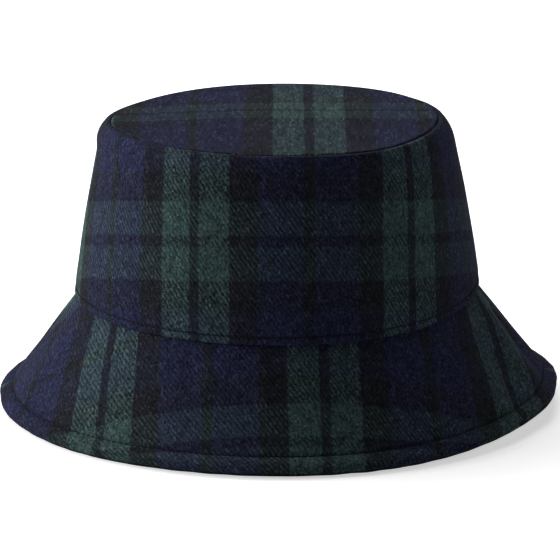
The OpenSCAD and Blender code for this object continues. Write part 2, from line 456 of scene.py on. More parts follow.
BRIM_FOLDS = (
    Fold(-19, -6, 5.0, -1.0),
    Fold(-9, -7, 4.2, 1.1),
    Fold(-3, -3, 2.6, -0.7),
    Fold(-165, 4, 4.5, 0.35),
    Fold(-155, 0, 6, -0.3),
)
TIP_EDGE_DENTS = (Fold(-45, 0, 28, -1.2), Fold(160, 0, 42, -1.8), Fold(20, 0, 40, 0.5))


@dataclass(frozen=True)
class Drape:
    """Soft shape that the hat has taken. Every layer follows it, so none cuts another."""

    sizes: HatSizes
    stand: float = 1.3
    right_lift: float = 5.6
    right_out: float = 2.0
    left_out: float = 0.7
    seam_lift: float = 4.2
    belly: float = 0.9
    left_square: float = 2.4
    fold_depth: float = 1.5
    slack: float = 0.5
    rim_slack: float = 0.6
    tip_dome: float = 0.5
    back_sag: float = 1.0
    roll_sag: float = 0.9
    front_reach: float = 30
    back_reach: float = 65
    curl_power: float = 1.5
    edge_reach: float = 6
    broad: Waves = Waves(11, 2, 5, 160)
    rim_waves: Waves = Waves(5, 2, 4, 300)

    def shift(self, turn: Array, half_w: Array, height: Array) -> tuple[Array, Array]:
        """How far the cloth has moved in the plane of its section.

        Args:
            turn: Turn about the oval, in radians.
            half_w: Half width in the construction.
            height: Height above the brim seam in the construction.

        Returns:
            The move outwards and the move up.
        """
        z = self.sizes
        fall = np.clip(-height / (z.brim_w * sin(z.brim_fall)), 0, 1)
        rise = np.clip(height / z.crown_h, 0, 1)
        bend = fall ** self.curl_power
        right, left = np.clip(np.cos(turn), 0, 1), np.clip(-np.cos(turn), 0, 1)
        reach = np.where(np.sin(turn) < 0, self.front_reach, self.back_reach)
        raised = near(turn, 0, reach) * (1 - rise) * (1 - bend)
        up = self.stand * (1 - fall) + self.right_lift * right ** 3 * bend + self.seam_lift * raised
        out = self.right_out * right ** 2 * bend + self.left_out * left ** 2 * bend
        bulge = np.sin(math.pi * rise) ** 0.8
        broad = self.broad.at(turn, height)
        out = out + self.belly * bulge * np.cos(turn) ** 2
        square = near(turn, 176, 34) * level_edge(height, z.wall_top_h - self.edge_reach, z.crown_h - 2)
        out = out + self.left_square * square
        out = out + broad * (self.slack * bulge + self.rim_slack * bend)
        fold = self._fold(turn, fall)
        out = out + fold * sin(z.brim_fall)
        rim = 1 + self.rim_waves.at(turn, height)
        up = up + fold * cos(z.brim_fall) + 0.4 * self.rim_slack * bend * rim
        return out, up + self._tip(turn, half_w, height)

    def _fold(self, turn: Array, fall: Array) -> Array:
        """Shallow folds that run down the brim at the right of its front, and a fainter one at the left.

        Args:
            turn: Turn about the oval, in radians.
            fall: Share of the way down the brim.

        Returns:
            Their height, square to the brim.
        """
        across = sum(fold.at(turn, fall) for fold in BRIM_FOLDS)
        ends = level_edge(fall, 0.02, 0.3) * (1 - 0.65 * level_edge(fall, 0.72, 0.95))
        return self.fold_depth * across * ends

    def _tip(self, turn: Array, half_w: Array, height: Array) -> Array:
        """Slight dome and sag of the top panel, which its edge and the shoulder share.

        Args:
            turn: Turn about the oval, in radians.
            half_w: Half width in the construction.
            height: Height above the brim seam in the construction.

        Returns:
            The move up.
        """
        z = self.sizes
        top = level_edge(height, z.wall_top_h - self.edge_reach, z.crown_h - 1)
        back = np.clip(np.sin(turn), 0, 1) ** 2
        edge = sum(dent.at(turn, 0.0) for dent in TIP_EDGE_DENTS) - self.back_sag * back
        outside = level_edge(half_w, z.tip_edge_w, z.tip_edge_w + 2.5)
        edge = edge - self.roll_sag * np.clip(np.sin(turn) + 0.4, 0, 1) * outside
        inner = 1 - level_edge(half_w, 0.15 * z.tip_edge_w, 0.98 * z.tip_edge_w)
        return top * (edge * (1 - inner) + self.tip_dome * inner)


@dataclass(frozen=True)
class Cut:
    """Flat cutting of a panel on the cloth: its shape unrolled, and where it lies on the check.

    The cloth's own lines are straight here, so they run over the sewn hat as they do on real cloth.
    """

    oval: Oval
    base_w: float
    slant: float
    middle: float
    check_u: float
    check_v: float
    eased: bool = False
    off_grain: float = 0.0

    def spread(self, turn: Array, run: Array, half_w: Array) -> Array:
        """Place on the cloth of points of the panel.

        Args:
            turn: Turn about the oval, in radians.
            run: Distance up the panel from its base ring.
            half_w: Half width of the sewn ring through the point.

        Returns:
            Pairs of distances along and across the cloth, in metres.
        """
        fine = np.linspace(-math.pi / 2 - 0.1, math.pi / 2 + 0.1, 2401)
        radius = self.base_w + self.oval.reach(fine + self.middle)
        psi = fine * self.slant
        step = fine[1] - fine[0]
        across = self._sum(radius * np.cos(psi) * step)
        along = self._sum(radius * np.sin(psi) * step)
        t = turn - self.middle
        psi_t = t * self.slant
        u = np.interp(t, fine, across) - run * np.sin(psi_t)
        v = np.interp(t, fine, along) + run * np.cos(psi_t)
        if self.eased:
            reach = self.oval.reach(turn)
            u = u * (half_w + reach) / (self.base_w - run * self.slant + reach)
        turned = v * cos(self.off_grain) - u * sin(self.off_grain)
        u = u * cos(self.off_grain) + v * sin(self.off_grain)
        return np.stack([(u - self.check_u) * MM, (turned - self.check_v) * MM], -1)

    @staticmethod
    def _sum(steps: Array) -> Array:
        """Running sum that is zero in the middle."""
        total = np.concatenate([[0.0], np.cumsum((steps[1:] + steps[:-1]) / 2)])
        return total - total[len(total) // 2]


@dataclass
class Outline:
    """Section of a piece of cloth, drawn as a closed outline."""

    points: Array
    run: Array
    relief: Array

    @classmethod
    def trace(
        cls,
        parts: Sequence[tuple[Sequence[Point], float, float]],
        start: int,
        closed: bool = True,
    ) -> "Outline":
        """Outline from stretches of points.

        Args:
            parts: Stretches, each with its points, its longest step and its share of relief.
            start: Number of the stretch at whose first point the run is zero.
            closed: Whether the outline joins its own start.

        Returns:
            The outline, with the first point repeated at the end where it is closed.
        """
        points: list[Point] = []
        relief: list[float] = []
        zero = 0
        for number, (stretch, step, share) in enumerate(parts):
            if number == start:
                zero = len(points) - (bool(points) and math.dist(points[-1], stretch[0]) < TOUCH)
            for i, p in enumerate(stretch):
                if points and i == 0 and math.dist(points[-1], p) < TOUCH:
                    continue
                if points and i > 0:
                    q = stretch[i - 1]
                    cuts = max(1, math.ceil(math.dist(q, p) / step - TOUCH))
                    for k in range(1, cuts):
                        points.append((q[0] + (p[0] - q[0]) * k / cuts, q[1] + (p[1] - q[1]) * k / cuts))
                        relief.append(share)
                points.append(p)
                relief.append(share)
        if closed and math.dist(points[0], points[-1]) > TOUCH:
            points.append(points[0])
            relief.append(relief[0])
        xy = np.array(points, float)
        lengths = np.concatenate([[0.0], np.cumsum(np.hypot(*np.diff(xy, axis=0).T))])
        return cls(xy, lengths - lengths[zero], np.array(relief, float))

    def normals(self) -> Array:
        """Unit vectors square to the outline, to its right as it runs.

        Returns:
            One vector for each point.
        """
        ahead = np.gradient(self.points, axis=0)
        length = np.maximum(np.hypot(ahead[:, 0], ahead[:, 1]), 1e-9)
        return np.stack([ahead[:, 1] / length, -ahead[:, 0] / length], -1)


def link(obj: Object) -> Object:
    """Puts a new object into the scene."""
    bpy.context.scene.collection.objects.link(obj)
    return obj


def finish_mesh(name: str, bm: bmesh.types.BMesh, material: Material, sharp: float = 50) -> Object:
    """Closes a mesh off as a smooth object with outward faces.

    Args:
        name: Name of the piece.
        bm: Its mesh, in metres, which is freed.
        material: Its finish.
        sharp: Angle in degrees past which an edge stays sharp.

    Returns:
        The object, at the origin.
    """
    bmesh.ops.recalc_face_normals(bm, faces=bm.faces)
    mesh = bpy.data.meshes.new(name)
    bm.to_mesh(mesh)
    bm.free()
    mesh.materials.append(material)
    mesh.polygons.foreach_set("use_smooth", [True] * len(mesh.polygons))
    mesh.set_sharp_from_angle(angle=math.radians(sharp))
    return link(bpy.data.objects.new(name, mesh))


def skin(
    name: str,
    points: Array,
    uv: Array,
    material: Material,
    around: bool,
    poles: bool = False,
) -> Object:
    """Closed piece from a grid of points: rows about the oval, columns along the outline.

    Args:
        name: Name of the piece.
        points: Rows by columns by 3, in metres. With poles, the first and last columns are one
            point each; without, the last column repeats the first.
        uv: Rows by columns by 2, the place on the cloth.
        material: Its finish.
        around: Whether the last row joins the first; otherwise both ends are closed off flat.
        poles: Whether the outline starts and ends on the hat's axis.

    Returns:
        The finished object.
    """
    rows, cols = points.shape[:2]
    bm = bmesh.new()
    layer = bm.loops.layers.uv.new(CLOTH_UV)
    keep = range(1, cols - 1) if poles else range(cols - 1)
    grid = [[bm.verts.new(points[i, j]) for j in keep] for i in range(rows)]
    tops = [bm.verts.new(points[:, j].mean(0)) for j in (0, cols - 1)] if poles else []
    first = 1 if poles else 0

    def vert(i: int, j: int) -> bmesh.types.BMVert:
        """Vertex of a row and a column, both wrapped.

        Args:
            i: Number of the row.
            j: Number of the column.

        Returns:
            The vertex.
        """
        if poles and j == 0:
            return tops[0]
        if poles and j == cols - 1:
            return tops[1]
        return grid[i % rows][(j - first) % len(keep)]

    def face(corners: Iterable[tuple[int, int]]) -> None:
        """Face over corners given as rows and columns.

        Args:
            corners: Row and column of each corner.
        """
        listed = list(corners)
        made = bm.faces.new([vert(i, j) for i, j in listed])
        for loop, (i, j) in zip(made.loops, listed):
            loop[layer].uv = uv[i % rows, j]

    for i in range(rows if around else rows - 1):
        for j in range(cols - 1):
            if poles and j == 0:
                face([(i, 0), (i + 1, 1), (i, 1)])
            elif poles and j == cols - 2:
                face([(i, j), (i + 1, j), (i, j + 1)])
            else:
                face([(i, j), (i + 1, j), (i + 1, j + 1), (i, j + 1)])
    if not around:
        face([(0, j) for j in range(cols - 1)])
        face([(rows - 1, j) for j in reversed(range(cols - 1))])
    return finish_mesh(name, bm, material)


class NodeKit:
    """Short-hand for building a node tree."""

    def __init__(self, tree: bpy.types.NodeTree) -> None:
        """Takes the tree that is built."""
        self.tree = tree

    def feed(self, socket: Socket, value: object) -> None:
        """Links a socket to what feeds it, or sets it to a plain value.

        Args:
            socket: The input to fill.
            value: An output, a node that stands for its first output, or a plain value.
        """
        if isinstance(value, bpy.types.Node):
            value = value.outputs[0]
        if isinstance(value, Socket):
            self.tree.links.new(value, socket)
        else:
            socket.default_value = value

    def add(self, kind: str, inputs: dict | None = None, **settings: object) -> Node:
        """New node with its settings made and its inputs fed.

        Args:
            kind: Blender's name of the node's type.
            inputs: What feeds its inputs, by their names or numbers.
            settings: The node's own settings.

        Returns:
            The node.
        """
        node = self.tree.nodes.new(kind)
        for key, value in settings.items():
            setattr(node, key, value)
        for key, value in (inputs or {}).items():
            self.feed(node.inputs[key], value)
        return node

    def math(self, operation: str, *values: object) -> Socket:
        """Result of a math node."""
        return self.add("ShaderNodeMath", dict(enumerate(values)), operation=operation).outputs[0]

    def times(self, a: object, b: object) -> Socket:
        """Product of two values."""
        return self.math("MULTIPLY", a, b)

    def range(self, value: object, low: float, high: float, to_low: float, to_high: float) -> Socket:
        """Value carried from one range to another and kept inside it."""
        values = dict(enumerate((value, low, high, to_low, to_high)))
        return self.add("ShaderNodeMapRange", values).outputs[0]


class Nodes(NodeKit):
    """Short-hand for building a material."""

    def __init__(self, name: str) -> None:
        """Starts a material with a surface shader and its output.

        Args:
            name: Name of the material.
        """
        self.material = bpy.data.materials.new(name)
        self.material.use_nodes = True
        super().__init__(self.material.node_tree)
        self.tree.nodes.clear()
        self.surface = self.add("ShaderNodeBsdfPrincipled")
        self.add("ShaderNodeOutputMaterial", {"Surface": self.surface})

    def wave(self, phase: object) -> Socket:
        """Wave between -1 and 1 that repeats with every whole step of its phase."""
        return self.math("SINE", self.times(phase, 2 * math.pi))

    def vary(self, noise: object, low: float, high: float) -> Socket:
        """Noise spread from a low to a high factor."""
        return self.range(noise, 0.3, 0.7, low, high)

    def scale(self, vector: object, factors: Colour) -> Socket:
        """A vector scaled along its axes."""
        return self.add("ShaderNodeVectorMath", {0: vector, 1: factors}, operation="MULTIPLY").outputs[0]

    def tone(self, colour: object, factor: object) -> Socket:
        """A colour made darker or lighter by a factor."""
        return self.add("ShaderNodeVectorMath", {0: colour, "Scale": factor}, operation="SCALE").outputs[0]

    def blend(self, share: object, a: object, b: object) -> Socket:
        """First colour with a share of the second."""
        return self.add("ShaderNodeMix", {0: share, 6: a, 7: b}, data_type="RGBA").outputs[2]

    def noise(self, vector: object, scale: float, detail: float = 2.0, rough: float = 0.5) -> Socket:
        """Noise between 0 and 1 at a vector."""
        values = {"Vector": vector, "Scale": scale, "Detail": detail, "Roughness": rough}
        return self.add("ShaderNodeTexNoise", values).outputs["Fac"]

    def grain(self, vector: object, across: float, along: float) -> Socket:
        """Random number for every cell of a size in mm, as single hairs catch the light.

        Args:
            vector: The place.
            across: Width of a cell.
            along: Its length.

        Returns:
            The number, from 0 to 1.
        """
        cells = self.scale(vector, (1 / (across * MM), 1 / (along * MM), 1.0))
        cell = self.add("ShaderNodeVectorMath", {0: cells}, operation="FLOOR")
        return self.add("ShaderNodeTexWhiteNoise", {"Vector": cell}, noise_dimensions="2D").outputs["Value"]

    def ramp(self, value: object, stops: Sequence[tuple[float, Colour]]) -> Socket:
        """Colour from a ramp.

        Args:
            value: Place on the ramp, from 0 to 1.
            stops: Places and colours of its stops.

        Returns:
            The colour there.
        """
        node = self.add("ShaderNodeValToRGB", {0: value})
        elements = node.color_ramp.elements
        while len(elements) < len(stops):
            elements.new(1.0)
        for element, (place, colour) in zip(elements, stops):
            element.position = place
            element.color = (*colour, 1)
        return node.outputs[0]

    def bump(self, height: object, strength: float, depth: float) -> None:
        """Lets a height shape the surface's shading, with its depth in mm."""
        values = {"Strength": strength, "Distance": depth * MM, "Height": height}
        self.feed(self.surface.inputs["Normal"], self.add("ShaderNodeBump", values))

    def dye(self, colour: object, tone: object) -> None:
        """Gives the surface a colour toned by a factor."""
        self.feed(self.surface.inputs["Base Color"], self.tone(colour, tone))

    def plain(self, **values: object) -> None:
        """Sets the surface shader's own sockets, named with underscores for spaces."""
        for key, value in values.items():
            self.surface.inputs[key.replace("_", " ")].default_value = value

    def cloth(self) -> Socket:
        """The piece's place on its cloth, in metres."""
        return self.add("ShaderNodeUVMap", uv_map=CLOTH_UV).outputs[0]

    def split(self, vector: object) -> tuple[Socket, Socket]:
        """First two parts of a vector."""
        parts = self.add("ShaderNodeSeparateXYZ", {0: vector}).outputs
        return parts[0], parts[1]


@dataclass(frozen=True)
class WoolCheck:
    """Brushed wool twill in a green, navy and black check that repeats both ways.

    Lengths are in mm. The threads' colours are mixed in the power `mixing`, since covered threads
    darken a cloth.
    """

    name: str = "wool_check"
    green: Colour = (0.0345, 0.0605, 0.0595)
    blue: Colour = (0.0160, 0.0180, 0.0450)
    black: Colour = (0.0118, 0.0127, 0.0165)
    line: Colour = (0.0123, 0.0150, 0.0195)
    loose_hair: Colour = (0.060, 0.075, 0.085)
    half_line: float = 2.25
    green_to: float = 16.5
    black_to: float = 29.1
    blue_to: float = 49.5
    half_repeat: float = 52.05
    edge: float = 0.35
    weft_scale: float = 0.945
    rib_across: float = 2.25
    rib_along: float = 3.1
    hair_run: float = 1.0
    wander: float = 0.9
    fuzziness: float = 5.0
    mixing: float = 2.5

    def stops(self) -> list[tuple[float, Colour]]:
        """Stops of the stripes, from the middle of the green to the middle of the blue.

        Returns:
            Places from 0 to 1 and colours, ready for mixing.
        """
        bands = (
            (self.half_line, self.line, self.green),
            (self.green_to, self.green, self.black),
            (self.black_to, self.black, self.blue),
            (self.blue_to, self.blue, self.line),
        )
        found = []
        for place, *pair in bands:
            before, after = (tuple(c ** (1 / self.mixing) for c in colour) for colour in pair)
            found.append(((place - self.edge) / self.half_repeat, before))
            found.append(((place + self.edge) / self.half_repeat, after))
        return found

    def stripes(self, n: Nodes, along: object) -> Socket:
        """Colour of the threads that cross a line at a distance along it."""
        place = n.math("PINGPONG", along, self.half_repeat * MM)
        return n.ramp(n.math("DIVIDE", place, self.half_repeat * MM), self.stops())

    def rib(self, n: Nodes, cloth: Socket, u: Socket, v: Socket) -> Socket:
        """Height of the twill's ribs, worn flat in places; it also sets the ribs' painted shade in the
        colour.

        Args:
            n: The material's nodes.
            cloth: Place on the cloth, where it is worn.
            u: Distance across the warp.
            v: Distance along it.

        Returns:
            The height, about -1 to 1.
        """
        across = n.math("DIVIDE", u, self.rib_across * MM)
        phase = n.math("ADD", across, n.math("DIVIDE", v, self.rib_along * MM))
        worn = n.range(n.noise(cloth, 330.0), 0.35, 0.65, 0.35, 1.15)
        return n.times(n.wave(phase), worn)

    def material(self) -> Material:
        """The wool as a material.

        Returns:
            The material, with stripes, ribs and their painted shade, nap and loose hairs.
        """
        n = Nodes(self.name)
        cloth = n.cloth()
        drift = n.add("ShaderNodeTexNoise", {"Vector": cloth, "Scale": 260.0}).outputs["Color"]
        reach = (self.wander * MM, self.wander * MM, 0.0)
        place = n.add("ShaderNodeVectorMath", {0: drift, 1: reach, 2: cloth}, operation="MULTIPLY_ADD")
        u, v = n.split(place)
        rib = self.rib(n, cloth, u, v)
        nap = n.noise(cloth, 700.0, 3.0, 0.7)
        short_hairs = n.times(n.grain(place, 0.6, 0.7), 0.6)
        hairs = n.math("MULTIPLY_ADD", n.grain(place, 0.9, 1.6 * self.hair_run), 0.4, short_hairs)
        fuzz = n.times(n.math("SUBTRACT", nap, 0.5), self.fuzziness)
        fuzz = n.math("ADD", fuzz, n.math("SUBTRACT", hairs, 0.5))
        warp_on_top = n.range(n.math("ADD", rib, fuzz), -0.9, 0.7, 0.2, 1.0)
        weft = self.stripes(n, n.times(v, self.weft_scale))
        mixed = n.blend(warp_on_top, weft, self.stripes(n, u))
        woven = n.add("ShaderNodeGamma", {0: mixed, 1: self.mixing})
        cloud = n.noise(n.scale(cloth, (1.0, 1 / self.hair_run, 1.0)), 150.0, 4.0, 0.75)
        fleck = n.range(n.grain(place, 0.8, 1.1 * self.hair_run), 0.86, 0.96, 0.0, 1.0)
        tone = n.math("MULTIPLY_ADD", fleck, 0.8, n.range(hairs, 0.0, 1.0, 0.25, 1.6))
        # Painted shade of the twill: the colour is up to 5% darker in the ribs' grooves and 5% lighter on
        # their ridges. The cloud is random tone.
        tone = n.times(n.times(tone, n.vary(cloud, 0.76, 1.24)), n.range(rib, -1.0, 1.0, 0.95, 1.05))
        haired = n.blend(n.times(fleck, 0.1), n.tone(woven, tone), (*self.loose_hair, 1))
        n.feed(n.surface.inputs["Base Color"], haired)
        n.plain(Roughness=0.95, Specular_IOR_Level=0.05)
        n.bump(n.math("ADD", n.times(rib, 0.3), n.times(nap, 1.4)), 0.6, 0.4)
        return n.material


@dataclass(frozen=True)
class Satin:
    """Plain satin lining with a soft gloss along its threads."""

    colour: Colour = (0.012, 0.015, 0.034)

    def material(self) -> Material:
        """The satin as a material.

        Returns:
            The material.
        """
        n = Nodes("satin_lining")
        threads = n.noise(n.scale(n.cloth(), (1.0, 0.12, 1.0)), 2600.0, rough=0.6)
        cloud = n.noise(n.cloth(), 60.0)
        n.dye(self.colour, n.times(n.vary(threads, 0.8, 1.2), n.vary(cloud, 0.9, 1.1)))
        n.plain(Roughness=0.38, Specular_IOR_Level=0.5, Sheen_Weight=0.1)
        n.bump(n.math("ADD", threads, n.times(cloud, 3.0)), 0.25, 0.2)
        return n.material


@dataclass(frozen=True)
class BandTwill:
    """Matt cotton twill of the band that lies on the head."""

    colour: Colour = (0.013, 0.014, 0.018)
    rib: float = 0.9

    def material(self) -> Material:
        """The twill as a material.

        Returns:
            The material.
        """
        n = Nodes("sweatband_twill")
        rib = n.wave(n.math("DIVIDE", n.math("ADD", *n.split(n.cloth())), self.rib * MM))
        grain = n.noise(n.cloth(), 2200.0, rough=0.6)
        n.dye(self.colour, n.times(n.range(rib, -1.0, 1.0, 0.75, 1.2), n.vary(grain, 0.8, 1.2)))
        n.plain(Roughness=0.82, Specular_IOR_Level=0.3)
        n.bump(n.math("ADD", rib, grain), 0.4, 0.2)
        return n.material


@dataclass(frozen=True)
class Ribbon:
    """Blank woven ribbon of the care label."""

    colour: Colour = (0.72, 0.72, 0.70)
    warp_pitch: float = 0.5
    weft_pitch: float = 0.4

    def material(self) -> Material:
        """The ribbon as a material.

        Returns:
            The material.
        """
        n = Nodes("label_ribbon")
        u, v = n.split(n.cloth())
        cross, down = n.math("DIVIDE", u, self.warp_pitch * MM), n.math("DIVIDE", v, self.weft_pitch * MM)
        weave = n.times(n.wave(cross), n.wave(down))
        grain = n.noise(n.cloth(), 900.0)
        n.dye(self.colour, n.times(n.range(weave, -1.0, 1.0, 0.93, 1.03), n.vary(grain, 0.95, 1.03)))
        n.plain(Roughness=0.55, Specular_IOR_Level=0.4, Sheen_Weight=0.2)
        n.bump(weave, 0.3, 0.1)
        return n.material


@dataclass(frozen=True)
class Felt:
    """Needled or bonded interlining."""

    name: str
    colour: Colour

    def material(self) -> Material:
        """The interlining as a material.

        Returns:
            The material.
        """
        n = Nodes(self.name)
        hair = n.noise(n.cloth(), 1400.0, 4.0, 0.7)
        n.dye(self.colour, n.vary(hair, 0.75, 1.2))
        n.plain(Roughness=0.95, Specular_IOR_Level=0.1)
        n.bump(hair, 0.5, 0.3)
        return n.material


@dataclass(frozen=True)
class Thread:
    """Spun sewing thread with its twist."""

    colour: Colour = (0.0060, 0.0068, 0.0100)

    def material(self) -> Material:
        """The thread as a material.

        Returns:
            The material.
        """
        n = Nodes("sewing_thread")
        twist = n.noise(n.add("ShaderNodeTexCoord").outputs["Object"], 3800.0)
        n.dye(self.colour, n.vary(twist, 0.7, 1.35))
        n.plain(Roughness=0.85, Specular_IOR_Level=0.1)
        n.bump(twist, 0.4, 0.1)
        return n.material


@dataclass
class Workroom:
    """What every sub-assembly needs: the sizes, the shape taken and the finishes."""

    sizes: HatSizes
    drape: Drape
    wool: Material
    tip_wool: Material
    satin: Material
    band: Material
    ribbon: Material
    stiffener: Material
    wadding: Material
    thread: Material

    def settle(self, turn: Array, half_w: Array, height: Array) -> Array:
        """Points of the hat in metres, after the cloth has settled.

        Args:
            turn: Turn about the oval, in radians.
            half_w: Half width in the construction.
            height: Height above the brim seam in the construction.

        Returns:
            The points, with x, y and z on the last axis.
        """
        out, up = self.drape.shift(turn, half_w, height)
        placed = self.sizes.oval.place(turn, half_w + out, height + up) + (0, 0, self.sizes.seam_h)
        placed[..., 2] = np.maximum(placed[..., 2], 0)
        return placed * MM

    def dress(self, obj: Object, slot: str, *nodes: str, body: str = "hat") -> Object:
        """Puts a piece on its body, hides the CAD nodes that it replaces, and reports it with its slot.

        Args:
            obj: The piece.
            slot: Its material slot.
            nodes: The CAD nodes that it replaces.
            body: The body that it rides on.

        Returns:
            The piece.
        """
        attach(obj, body)
        if nodes:
            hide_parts(*nodes)
        tris = sum(len(p.vertices) - 2 for p in obj.data.polygons)
        LOG.info("%s: %d triangles, %s, on %s", obj.name, tris, slot, body)
        return obj


@dataclass
class PanelShape:
    """Half or whole ring of cloth: an outline carried about the oval."""

    EDGE_ROWS = (0.12, 0.3, 0.6, 1.0, 1.5)

    room: Workroom
    outline: Outline
    cut: Cut
    half: Half | None = None
    steps: int = 240
    butt: float = 0.002
    edge_round: float = 0.0
    edge_sink: float = 0.45
    relief: Callable[[Array, Array], Array] | None = None

    def turns(self) -> Array:
        """Turns of the rows, closer together at the ends of a half.

        Returns:
            The turns, in radians.
        """
        if self.half is None:
            return np.linspace(-math.pi, math.pi, 2 * self.steps, endpoint=False)
        gap = self.butt / (self.room.sizes.half_w + self.room.sizes.longer)
        even = np.linspace(gap, math.pi - gap, self.steps + 1)
        if self.edge_round:
            close = np.array(self.EDGE_ROWS) * self.edge_round / self.room.sizes.half_w
            rows = (even[:1], gap + close, even[2:-2], math.pi - gap - close[::-1], even[-1:])
            even = np.concatenate(rows)
        return even if self.half is Half.BACK else even - math.pi

    def build(self, name: str, material: Material) -> Object:
        """The piece as a closed mesh.

        Args:
            name: Name of the piece.
            material: Its finish.

        Returns:
            The finished object.
        """
        turns = self.turns()[:, None]
        xy, normals = self.outline.points, self.outline.normals()
        lift = np.zeros((len(turns), len(xy)))
        if self.relief is not None:
            lift = lift + self.outline.relief * self.relief(turns, self.outline.run[None, :])
        if self.edge_round and self.half is not None:
            centre_r = self.room.sizes.half_w + self.room.sizes.longer
            away = np.minimum(np.abs(np.sin(turns)), 1) * centre_r / self.edge_round
            sunk = 1 - np.sqrt(np.clip(1 - (1 - np.clip(away, 0, 1)) ** 2, 0, 1))
            lift = lift - self.outline.relief * sunk * self.edge_round * self.edge_sink
        half_w = xy[:, 0] + normals[:, 0] * lift
        height = xy[:, 1] + normals[:, 1] * lift
        points = self.room.settle(turns, half_w, height)
        uv = self.cut.spread(turns, self.outline.run[None, :], xy[None, :, 0])
        return skin(name, points, uv, material, around=self.half is None)


@dataclass
class TipPanel:
    """Flat oval top of the crown, with its edge rolled down into the tip seam."""

    room: Workroom
    check_u: float = 15.0
    check_v: float = 12.0
    steps: int = 240
    ring_w: float = 16.0

    def disc(self, name: str, outline: Outline, material: Material) -> Object:
        """Closed disc from an outline that starts and ends on the axis.

        Args:
            name: Name of the piece.
            outline: Its section, from the underside's middle to the top's.
            material: Its finish.

        Returns:
            The finished object.
        """
        turns = np.linspace(-math.pi, math.pi, 2 * self.steps, endpoint=False)[:, None]
        x, h = outline.points[None, :, 0], outline.points[None, :, 1]
        edge = float(outline.points[:, 0].max()) - self.ring_w
        out, up = self.room.drape.shift(turns, x, h)
        grown = np.maximum(x, edge)
        placed = self.room.sizes.oval.place(turns, grown + out, h + up + 0 * turns)
        share = np.minimum(x / edge, 1.0)
        placed[..., 0] *= share
        placed[..., 1] *= share
        beyond = np.maximum(outline.points[:, 0].max() - 2, outline.points[:, 0])
        flat_w = np.where(outline.run > 0, beyond + outline.run, outline.points[:, 0])[None, :]
        flat = self.room.sizes.oval.place(turns, np.maximum(flat_w, edge), 0 * flat_w)[..., :2]
        flat = flat * np.minimum(flat_w / edge, 1.0)[..., None]
        uv = (flat - (self.check_u, self.check_v)) * MM
        points = (placed + (0, 0, self.room.sizes.seam_h)) * MM
        return skin(name, points, uv, material, around=True, poles=True)

    def build(self) -> Object:
        """The top panel.

        Returns:
            The finished object.
        """
        z = self.room.sizes
        x = z.tip_edge_w - z.edge_roll_r
        centre = (x, z.tip_h - z.edge_roll_r)
        t = z.wool_t
        outline = Outline.trace(
            [
                ([(0.0, z.tip_h - t), (x, z.tip_h - t)], 3.0, 0),
                (arc(centre, z.edge_roll_r - t, 90, 0, 3), AS_DRAWN, 0),
                ([(z.tip_edge_w - t, z.flange_h), (z.tip_edge_w, z.flange_h)], 1.5, 0),
                ([(z.tip_edge_w, z.flange_h), (z.tip_edge_w, centre[1])], 1.5, 0),
                (arc(centre, z.edge_roll_r, 0, 90, 8, PRESSED), AS_DRAWN, 0),
                ([(x, z.tip_h), (0.0, z.tip_h)], 1.6, 1),
            ],
            start=5,
            closed=False,
        )
        outline.run = -outline.run
        panel = self.disc("tip_panel", outline, self.room.tip_wool)
        return self.room.dress(panel, "wool_check", "crown_tip")

    def flat(self, name: str, half_w: float, low: float, high: float, material: Material) -> Object:
        """Flat disc of a lining or a backing.

        Args:
            name: Name of the piece.
            half_w: Its half width.
            low: Height of its underside.
            high: Height of its top.
            material: Its finish.

        Returns:
            The finished object.
        """
        outline = Outline.trace(
            [([(0.0, low), (half_w, low)], 4.0, 0), ([(half_w, low), (half_w, high), (0.0, high)], 4.0, 0)],
            start=1,
            closed=False,
        )
        outline.run = -np.abs(outline.run)
        return self.disc(name, outline, material)


